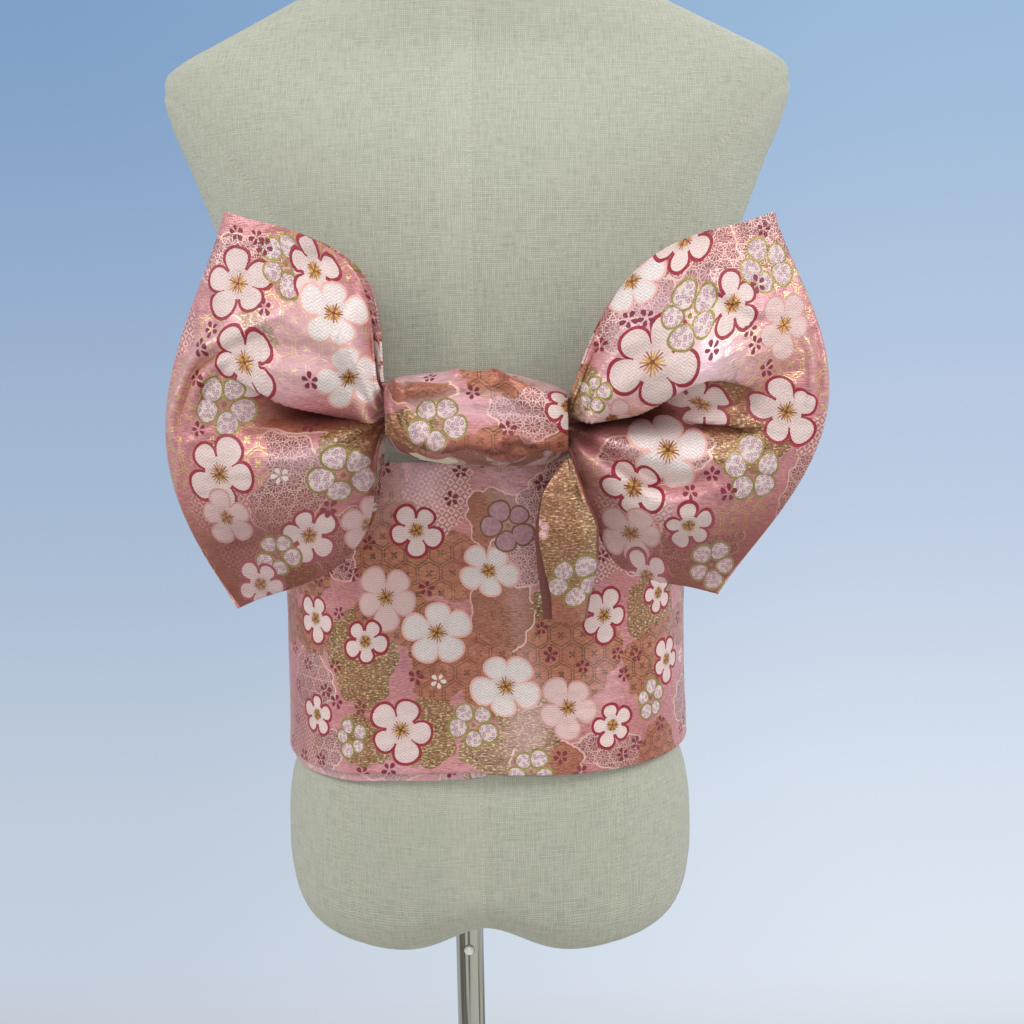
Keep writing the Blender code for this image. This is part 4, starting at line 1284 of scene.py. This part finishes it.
def make_form(linen):
    around = 240
    points = form_skin(around, 200, 14)
    x, y, z = (points[..., k] for k in range(3))
    gaps = seam_gaps(x, y, z)
    # A seam line lies a little below the skin.
    groove, groove_depths, groove_width = np.zeros_like(x), (0.5, 0.4, 0.9), 1.8
    for gap, deep in zip(gaps, groove_depths):
        groove = np.maximum(groove, deep * hill(gap, groove_width))
    flat = np.maximum(np.hypot(x, y), 1.0)
    points[..., 0] -= x / flat * groove
    points[..., 1] -= y / flat * groove
    run = ring_measure(points)
    upward = np.linalg.norm(np.diff(points[around // 2], axis=0), axis=1)
    cloth = np.stack(np.broadcast_arrays(run - run[around // 2], along_rows(upward, 0)), -1)
    piece, column, row = lattice("linen_form", around, points.shape[1] - 1)
    shape(piece, column, row, points, cloth)
    heading = np.arctan2(z - ARM_MIDDLE, y)
    marks = (("seam_middle", gaps[0]), ("seam_side", gaps[1]), ("seam_arm", gaps[2]),
             ("run_up", z), ("run_arm", heading * ARM_RADIUS))
    for name, values in marks:
        mark(piece, name, values[column, row])
    # The rings meet at the middle seam, and the open neck is closed with one face.
    edit(piece, weld(2e-6), lambda: bpy.ops.mesh.select_all(action="DESELECT"),
         lambda: bpy.ops.mesh.select_non_manifold(), lambda: bpy.ops.mesh.edge_face_add())
    edit(piece, lambda: bpy.ops.mesh.normals_make_consistent(inside=False))
    smooth(piece, 60)
    dress(piece, linen, "linen", "form_torso")


def make_neck_cap(finish):
    bpy.ops.object.select_all(action="DESELECT")
    low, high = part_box("form_neck_cap")
    middle = (Vector(low) + Vector(high)) / 2
    bpy.ops.mesh.primitive_cylinder_add(vertices=128, radius=0.5, depth=1.0, location=middle)
    piece = bpy.context.object
    piece.name = "neck_cap_lid"
    piece.scale = [high[k] - low[k] for k in range(3)]
    bpy.ops.object.transform_apply(location=True, rotation=True, scale=True)
    round_edges(piece, 2.2, 5)
    smooth(piece, 40)
    dress(piece, finish, "cap", "form_neck_cap")


# ---- band -------------------------------------------------------------------------------
def band_points(around, up, offset, top, edge_column, worn):
    """Points of one turn of the band, its flat measure and its length. The worn turn, which is
    seen, is a little uneven and stands up in a ridge under the knot."""
    about, girth, radius = 455.0, 620, 98
    angle = directions(around)
    edge = np.asarray(BAND_EDGE, float)
    low = soft_curve(edge[:, 0], edge[:, edge_column], np.degrees(angle) % 360)
    height = low[:, None] + (top - low[:, None]) * np.linspace(0, 1, up + 1)[None, :]
    spread = np.broadcast_to(angle[:, None], height.shape)
    rise = 0.0
    if worn:
        # The waves run round the form and meet where the turn closes.
        run = np.broadcast_to(np.linspace(0, girth, around + 1)[:, None], height.shape)
        turn = ROUND * run / girth
        across, into = np.cos(turn) * radius, np.sin(turn) * radius
        waves = soft_waves(across, height + into, SEED + edge_column, 7, 120, 45)
        ripples = soft_waves(across, height * 1.6, SEED + 9, 9, 60, 22)
        rise = 0.45 * (waves + 1) + 0.30 * ripples
    points = form_point(spread, height, offset + rise)
    if worn:
        ridge = hill(points[..., 0] - BAND_RIDGE_X, BAND_RIDGE_WIDE)
        ridge = ridge * hill(height - BAND_RIDGE_Z, BAND_RIDGE_HIGH)
        points[..., 1] -= BAND_RIDGE * ridge * (points[..., 1] < 0)
    measure = ring_measure(form_point(angle[:, None], np.full((around + 1, 1), about), offset))
    length = float(measure[-1, 0])
    cloth = np.stack(np.broadcast_arrays(measure - length / 2, height - low[:, None]), axis=-1)
    return points, cloth, length


def make_band(brocade):
    points, cloth, length = band_points(320, 70, SECOND_TURN_OFFSET, BAND_TOP, 1, True)
    x, y, z = (points[..., k] for k in range(3))
    # Painted light: streaks of painted highlight and shade run up the worn turn, and painted highlight
    # lifts it under the knot, where the bow shades it.
    painted_lift = ease(478, 528, z) * hill(x, 70)
    painted_streaks = soft_waves(x, 0.35 * z, SEED + 5, 5, 80, 28)
    piece, _, _ = lay_cloth("band_outer_turn", points, cloth, 0.10 + 0.8 * painted_streaks - 0.55 * painted_lift)
    chart = Chart(points, cloth, y < 0, length)
    chart.lay(BAND_PATCHES, BAND_BLOSSOMS, BAND_SMALL)
    chart.lay_small(BAND_SMALL_WHITE, SMALL_WHITE)
    chart.fill(900)
    write_weave(piece, chart)
    edit(piece, weld())
    cloth_wall(piece, SECOND_TURN_WALL, 0.6)
    dress(piece, brocade, "brocade", "band_second_turn")

    top, stretch, shade = BAND_TOP - FIRST_TURN_TOP_DROP, 210.0, -0.6
    points, cloth, length = band_points(200, 24, FIRST_TURN_OFFSET, top, 2, False)
    # This turn is another stretch of the same strip.
    cloth[..., 0] += stretch
    # The inner turn gets painted highlight: its ground is paler all over.
    piece, _, _ = lay_cloth("band_inner_turn", points, cloth, shade)
    chart = Chart(points, cloth, points[..., 1] < 0, length)
    chart.fill(500)
    write_weave(piece, chart)
    edit(piece, weld())
    cloth_wall(piece, FIRST_TURN_WALL, 0.4)
    dress(piece, brocade, "brocade_under", "band_first_turn")


# ---- bow loops --------------------------------------------------------------------------
def loop_middle(rows, around, up, low, front_creases, back_creases):
    """Points of a loop of cloth, and the painted shade of each: over 0 for painted shade, under 0 for
    painted highlight. around runs from -1 at the back ply's gathered end, through 0 at the outer fold,
    to 1 at the front ply's gathered end; up runs from the lower edge."""
    along = 1 - around**2
    col = table(rows, LOOP_COLUMNS, along)
    bulge = col["mid_x"] - (col["top_x"] + col["low_x"]) / 2
    bow = np.sin(np.pi * up**low) ** LOOP_BULGE_POWER
    x = col["low_x"] + (col["top_x"] - col["low_x"]) * up + bulge * bow
    z = col["low_z"] + (col["top_z"] - col["low_z"]) * up
    size = np.abs(around)
    part = 2 * size - size**2
    half = col["thick"] / 2
    relief = np.zeros_like(x)
    shape_at = (0.0, LOWER_LOBE_AT, VALLEY_AT, UPPER_LOBE_AT, 1.0)
    for i in range(x.shape[0]):
        marks = (0.0, col["lower"][i, 0], col["valley"][i, 0], col["upper"][i, 0], 0.0)
        relief[i] = soft_curve(shape_at, marks, up[i])
    pleats = col["gather"] * np.cos(ROUND * GATHERS * up)
    front = around > 0
    depth = col["back"] + half + np.sign(around) * part * half
    # The back ply follows the lobes of the front one faintly, the other way.
    depth = depth + part**2 * np.where(front, relief + pleats, -0.18 * relief - 0.5 * pleats)
    lean = LOWER_LEAN * ease(0.0, 0.42, 0.42 - up) + UPPER_LEAN * ease(0.66, 1.0, up)
    depth = depth - np.where(front, part * lean * ease(0.10, 0.40, along), 0.0)
    out, hang = crease(front_creases, x, z)
    behind, _ = crease(back_creases, x, z)
    # A crease stays off the open edges and off the gathers at the knot.
    calm = ease(0.0, 0.05, up) * ease(0.0, 0.05, 1 - up) * ease(0.03, 0.15, along)
    calm = calm * ease(0.0, 0.16, size)
    depth = depth + calm * np.where(front, out, -0.8 * behind)
    # Painted shade, in rust, lies in the valleys, on the undersides and on the hidden back ply; painted
    # highlight, pale lavender, lies on the crowns and at the outer rim.
    shade, back_shade, full_crown = 0.56, 0.4, 11.0
    standing = part**2 * relief + calm * out
    underside_shade = 0.7 * ease(0.0, 0.46, 0.46 - up)
    waist_shade = 0.34 * ease(0.08, 0.28, up) * ease(0.0, 0.20, 0.54 - up)
    rim = 0.62 * ease(0.72, 0.98, along) * ease(0.10, 0.36, up)
    painted_shading = shade - standing / full_crown + (underside_shade + waist_shade) - rim
    painted_shading = np.where(front, painted_shading, back_shade) * ease(0.0, 0.05, size)
    return np.stack([x, -depth, z - calm * np.where(front, hang, 0.0)], axis=-1), painted_shading


def flat_measure(points):
    """The ply's flat measure: x and height, lengthened where the cloth turns in depth. It runs
    on past the outer fold, so the back ply has its own stretch of cloth."""
    step, rise = np.diff(points, axis=0), np.diff(points, axis=1)
    across = along_rows(np.sqrt(step[..., 0] ** 2 + DEPTH_SHARE * step[..., 1] ** 2), 0)
    upward = along_rows(np.sqrt(rise[..., 2] ** 2 + DEPTH_SHARE * rise[..., 1] ** 2), 1)
    half = points.shape[1] // 2
    return across, upward - upward[:, half:half + 1] + points[:, half:half + 1, 2]


def make_loop(side, hand, rows, creases, charts, brocade, node):
    """hand is -1 for the loop that runs to the left, 1 for the other."""
    around, climb = np.meshgrid(np.linspace(-1, 1, 201), np.linspace(0, 1, 151), indexing="ij")
    points, painted_shading = loop_middle(rows, around, climb, LOOP_LOW[side], *creases)
    run, rise = flat_measure(points)
    # The front ply's measure starts from x at its gathered end.
    run = points[-1:, :, 0] + hand * (run[-1:, :] - run)
    cloth = np.stack([run, rise], axis=-1)
    piece, _, _ = lay_cloth(f"bow_loop_{side}_cloth", points, cloth, painted_shading)
    chart = Chart(points, cloth, around > 0.02)
    chart.lay(*charts)
    chart.fill(500, pale=True)
    write_weave(piece, chart)
    cloth_wall(piece, LOOP_WALL, 0.6)
    dress(piece, brocade, "brocade", node)


# ---- knot -------------------------------------------------------------------------------
def make_knot(brocade):
    """The wrap turns once round the gathers, over its own pale inner end."""
    around, along, middle_at = 150, 90, 560.0
    xs = np.linspace(KNOT_ROWS[0][0], KNOT_ROWS[-1][0], along + 1)
    col = table(KNOT_ROWS, KNOT_COLUMNS, xs)
    part = np.linspace(0, 1, around + 1)
    run = (xs - xs[0]) / (xs[-1] - xs[0])
    start = KNOT_START + KNOT_START_WAVE * np.sin(ROUND * KNOT_WAVES * run + 0.6)
    angle = start[None, :] + (KNOT_END - start[None, :]) * part[:, None]
    inward = KNOT_STEP * ease(KNOT_STEP_FROM, KNOT_STEP_TO, angle)
    out, _ = crease(KNOT_CREASES, np.broadcast_to(xs[None, :], angle.shape), angle * KNOT_ARC)
    out = out * (ease(0.0, 0.04, part)[:, None] * (1 - ease(240, 250, angle)))
    high = (col["top"] - col["bottom"]) / 2 - inward + out
    deep = (col["front"] - col["back"]) / 2 - inward + out
    turn = np.radians(angle)
    c, s = np.cos(turn), np.sin(turn)
    depth = (col["front"] + col["back"]) / 2 + deep * np.sign(c) * np.abs(c) ** (2 / KNOT_ROUNDNESS)
    z = (col["top"] + col["bottom"]) / 2 + high * np.sign(s) * np.abs(s) ** (2 / KNOT_ROUNDNESS)
    points = np.stack([np.broadcast_to(xs[None, :], z.shape), -depth, z], axis=-1)
    measure = ring_measure(points)
    forward = [np.interp(0.0, angle[:, k], measure[:, k]) for k in range(along + 1)]
    measure = measure - np.asarray(forward)[None, :] + middle_at
    cloth = np.stack([points[..., 0], measure], axis=-1)
    # Painted shade on the knot's underside and painted highlight on its top, shifted along its creases.
    piece, column, row = lay_cloth("knot_cloth", points, cloth, 0.22 - 1.0 * s + 0.26 * out)
    chart = Chart(points, cloth, (angle > -60) & (angle < 100))
    chart.lay(KNOT_PATCHES, KNOT_BLOSSOMS, KNOT_SMALL)
    chart.fill(120)
    # The inner end of the wrap is its pale lining, which peeps out under the free edge.
    lining_from, lining_middle, lining_half = 262, -16, 9
    wavy_half = lining_half + 2 * np.sin(angle * 0.2)
    lining = (angle > lining_from) & (np.abs(xs[None, :] - lining_middle) < wavy_half)
    first = read(piece.data.polygons, "loop_start", kind=int)
    corner = read(piece.data.loops, "vertex_index", kind=int)
    write_weave(piece, chart, lining[column, row][corner[first]])
    cloth_wall(piece, KNOT_WALL, 0.5)
    dress(piece, brocade, "brocade", "knot_wrap")


# ---- tail -------------------------------------------------------------------------------
def make_tail(brocade):
    """A strip folded lengthways: its outer ply, the fold at its right edge, its under ply."""
    ply, fold, down = 26, 8, 90
    heights = np.linspace(TAIL_ROWS[-1][0], TAIL_ROWS[0][0], down + 1)
    col = table(tuple(reversed(TAIL_ROWS)), TAIL_COLUMNS, heights)
    radius = TAIL_PLY_GAP / 2
    swing = 0.7 * np.sin((heights - TAIL_ROWS[-1][0]) / 9.0)
    left, right, depth = col["left"], col["right"] - radius, col["depth"]
    # A slanting trough runs down the outer ply's crown, through this x and height.
    crown_height, trough, trough_half, slant = 2.0, 1.7, 3.0, 0.22
    trough_x, trough_z = 36, 470
    strips = []
    for part in np.arange(ply + 1) / ply:
        x = left + (right - left) * part
        crown = crown_height * math.sin(math.pi * part)
        crown = crown - trough * hill(x - trough_x - (heights - trough_z) * slant, trough_half)
        strips.append((x, depth + crown + swing * (1 - part)))
    for turn in math.pi * np.arange(1, fold) / fold:
        strips.append((right + radius * math.sin(turn), depth - radius + radius * math.cos(turn)))
    inner = left - col["under"]
    for part in 1 - np.arange(ply + 1) / ply:
        x = inner + (right - inner) * part
        strips.append((x, depth - 2 * radius + swing * 0.5 * (1 - part)))
    points = np.stack([np.stack([x, -deep, heights], -1) for x, deep in strips])
    cloth = np.stack([ring_measure(points) + points[0:1, :, 0], points[..., 2]], axis=-1)
    # Painted highlight on the outer ply towards its right edge, and painted shade, rust and dark, on
    # the ply under it.
    edgewise = np.clip(np.arange(len(strips)) / ply, 0, 1)
    painted_shading = 0.52 - 0.6 * ease(0.62, 1.0, edgewise)[:, None]
    painted_shading[ply + 2:] = 1.5
    piece, _, _ = lay_cloth("tail_cloth", points, cloth, painted_shading)
    seen = np.zeros(points.shape[:2], bool)
    seen[:ply + 1] = True
    chart = Chart(points, cloth, seen)
    chart.lay(TAIL_PATCHES, TAIL_BLOSSOMS)
    write_weave(piece, chart)
    cloth_wall(piece, TAIL_WALL, 0.45)
    dress(piece, brocade, "brocade", "bow_tail")


# ---- stand ------------------------------------------------------------------------------
def turned_rod(name, radius, low, high, edge, sides=96):
    """A round bar along the pole's axis, with rounded ends."""
    bpy.ops.object.select_all(action="DESELECT")
    bpy.ops.mesh.primitive_cylinder_add(
        vertices=sides, radius=radius * MM, depth=(high - low) * MM,
        location=(0, 0, (low + high) / 2 * MM))
    piece = bpy.context.object
    piece.name = name
    bpy.ops.object.transform_apply(location=True, rotation=True, scale=True)
    round_edges(piece, edge, 4)
    return piece


def lay_in_pole(piece):
    """Turns a bar level and puts its middle in the pole's wall, at the button's height."""
    piece.data.transform(Matrix.Rotation(math.pi / 2, 4, "X"))
    piece.data.transform(Matrix.Translation((0, -POLE_RADIUS * MM, BUTTON_HEIGHT * MM)))


def cut(piece, cutter):
    apply(piece, "BOOLEAN", object=cutter, operation="DIFFERENCE", solver="EXACT")
    bpy.data.objects.remove(cutter, do_unlink=True)


def make_stand(chrome, nickel, paint):
    button_play, button_in, button_out, facet = 0.35, -6.0, 2.15, 35
    pole = turned_rod("plated_pole", POLE_RADIUS, POLE_BOTTOM, POLE_TOP, 0.8)
    hole = turned_rod("button_hole_cutter", BUTTON_RADIUS + button_play, -4, 4, 0.05, 48)
    lay_in_pole(hole)
    cut(pole, hole)
    smooth(pole, facet)
    dress(pole, chrome, "chrome", "stand_pole")

    button = turned_rod("sprung_button", BUTTON_RADIUS, button_in, button_out, 1.6, 48)
    lay_in_pole(button)
    smooth(button, facet)
    dress(button, nickel, "steel", "snap_button")

    collar = turned_rod("foot_collar", COLLAR_OUTER, POLE_BOTTOM, COLLAR_TOP, 1.5)
    cut(collar, turned_rod("collar_bore", COLLAR_INNER, POLE_BOTTOM - 5, COLLAR_TOP + 5, 0.05))
    round_edges(collar, 0.4, 2, 70.0)
    smooth(collar, facet)
    dress(collar, chrome, "chrome", "base_collar")

    base = turned_rod("round_base", BASE_RADIUS, 0.0, BASE_THICK, BASE_EDGE, 192)
    smooth(base, facet)
    dress(base, paint, "base_paint", "base_plate")


# ---- stage ------------------------------------------------------------------------------
# Softboxes: name, place, aim, size, power in watts, tint.
SOFTBOXES = (
    ("left_softbox", (-1.85, -0.75, 1.95), (0.0, -0.05, 0.5), 0.8, 27.5, (1.0, 0.99, 0.97)),
    ("right_softbox", (1.85, -0.70, 1.90), (0.0, -0.05, 0.5), 0.8, 29.5, (1.0, 0.99, 0.97)),
    ("front_softbox", (0.10, -1.85, 1.00), (0.0, -0.05, 0.46), 0.9, 8.2, (1.0, 0.98, 0.96)),
    ("back_softbox", (0.50, 1.55, 1.70), (0.0, 0.05, 0.5), 0.8, 12.0, (1.0, 0.95, 0.88)),
)
# The sweep, in metres: where the floor starts and bends, the bend's radius, its whole run.
SWEEP_FRONT, SWEEP_BEND_AT, SWEEP_RADIUS, SWEEP_RUN, SWEEP_HALF = -2.6, 0.9, 1.1, 7.2, 4.0
# Colours of the glowing wall from the floor up, at its left side and at its right: painted light, bluer
# and darker upwards and darker towards the left.
WALL_LEFT = ((198, 208, 222), (166, 186, 211), (128, 160, 200))
WALL_RIGHT = ((222, 231, 242), (190, 204, 227), (156, 187, 218))
ROOM, CEILING, ROOM_LIGHT = (0.72, 0.73, 0.74, 1.0), (1.0, 1.0, 1.0, 1.0), 0.54


def sweep_finish():
    """Grey floor paper, and above it a backdrop that glows with painted light instead of being lit,
    bluer and darker upwards and towards the left.
    """
    material, wires, shader = finish_material("pale sweep")
    x, y, z = wires.parts(wires.place())
    rise = y * 0.45 + z

    def wall(shades):
        low, middle, high = (colour(*shade) for shade in shades)
        return wires.mix(wires.step(rise, 1.6, 0.70),
                         wires.mix(wires.step(rise, 0.62, 0.55), low, middle), high)

    across = wires.step(x / (rise * 0.35 + 0.45), 0.0, 0.85)
    wires.feed(shader, {
        "Base Color": colour(190, 188, 184), "Roughness": 0.9, "Specular IOR Level": 0.1,
    })
    glow = wires.node("ShaderNodeEmission")
    wires.put(glow.inputs["Color"], wires.mix(across, wall(WALL_LEFT), wall(WALL_RIGHT)))
    blend = wires.node("ShaderNodeMixShader")
    wires.feed(blend, {0: wires.step(y, 0.30, 0.16), 1: shader.outputs[0], 2: glow.outputs[0]})
    wires.put(material.node_tree.nodes["Material Output"].inputs["Surface"], blend.outputs[0])
    return material


def make_stage():
    """A pale floor that sweeps up into a wall, a dim room with a pale ceiling, and soft lights."""
    bpy.ops.object.select_all(action="DESELECT")
    bpy.ops.mesh.primitive_grid_add(x_subdivisions=2, y_subdivisions=96, size=2.0)
    sweep = bpy.context.object
    sweep.name = "pale_sweep"
    flat = read(sweep.data.vertices, "co", 3)
    run = (flat[:, 1] + 1) / 2 * SWEEP_RUN
    floor = SWEEP_BEND_AT - SWEEP_FRONT
    turn = np.clip((run - floor) / SWEEP_RADIUS, 0, math.pi / 2)
    past = np.maximum(run - floor - SWEEP_RADIUS * math.pi / 2, 0)
    flat[:, 0] *= SWEEP_HALF
    flat[:, 1] = SWEEP_FRONT + np.minimum(run, floor) + SWEEP_RADIUS * np.sin(turn)
    flat[:, 2] = SWEEP_RADIUS * (1 - np.cos(turn)) + past
    sweep.data.vertices.foreach_set("co", flat.ravel())
    smooth(sweep, 60)
    sweep.data.materials.append(sweep_finish())

    scene = bpy.context.scene
    scene.world = scene.world or bpy.data.worlds.new("studio")
    scene.world.use_nodes = True
    wires = Wires(scene.world.node_tree)
    _, _, rise = wires.parts(wires.node("ShaderNodeTexCoord").outputs["Generated"])
    wires.feed(scene.world.node_tree.nodes["Background"], {
        "Color": wires.mix(wires.step(rise, 0.48, 0.30), ROOM, CEILING), "Strength": ROOM_LIGHT,
    })
    for name, place, aim, size, power, tint in SOFTBOXES:
        lamp = bpy.data.lights.new(name, "AREA")
        lamp.size, lamp.energy, lamp.color = size, power, tint
        thing = bpy.data.objects.new(name, lamp)
        thing.location = place
        way = Vector(aim) - Vector(place)
        thing.rotation_euler = way.to_track_quat("-Z", "Y").to_euler()
        scene.collection.objects.link(thing)
    scene.view_settings.view_transform = "Standard"
    scene.view_settings.look = "None"


def make_camera():
    """Eye a little to the right and above the bow, looking slightly down, with a faint roll."""
    focal_pixels, frame_pixels, sensor = 1300.0, 1024.0, 36.0
    down, left, roll = math.radians(8.0), math.radians(1.5), math.radians(1.0)
    eye = Vector(((34.0 + FORM_X) * MM, -0.7124, 0.5999))
    level = math.cos(down)
    look = Vector((-math.sin(left) * level, math.cos(left) * level, -math.sin(down)))
    right = look.cross(Vector((0, 0, 1))).normalized()
    over = right.cross(look)
    right, over = (right * math.cos(roll) - over * math.sin(roll),
                   over * math.cos(roll) + right * math.sin(roll))
    lens = bpy.data.cameras.new("eye")
    lens.sensor_width = sensor
    lens.lens = sensor * focal_pixels / frame_pixels
    camera = bpy.data.objects.new("eye", lens)
    turned = Matrix((right, over, -look)).transposed().to_4x4()
    camera.matrix_world = Matrix.Translation(eye) @ turned
    bpy.context.scene.collection.objects.link(camera)
    bpy.context.scene.camera = camera


make_stage()
make_camera()
brocade = brocade_finish()
linen = linen_finish()
chrome, steel = chrome_finish(), steel_finish()
make_form(linen)
make_neck_cap(cap_finish())
make_band(brocade)
make_loop("left", -1, LOOP_LEFT, (CREASES_LEFT, CREASES_LEFT_BACK),
          (LEFT_PATCHES, LEFT_BLOSSOMS, LEFT_SMALL), brocade, "bow_loop_left")
make_loop("right", 1, LOOP_RIGHT, (CREASES_RIGHT, CREASES_RIGHT_BACK),
          (RIGHT_PATCHES, RIGHT_BLOSSOMS, RIGHT_SMALL), brocade, "bow_loop_right")
make_knot(brocade)
make_tail(brocade)
make_stand(chrome, nickel_finish(), painted_finish())
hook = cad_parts["bow_hook"]
hook.data.materials.clear()
hook.data.materials.append(steel)
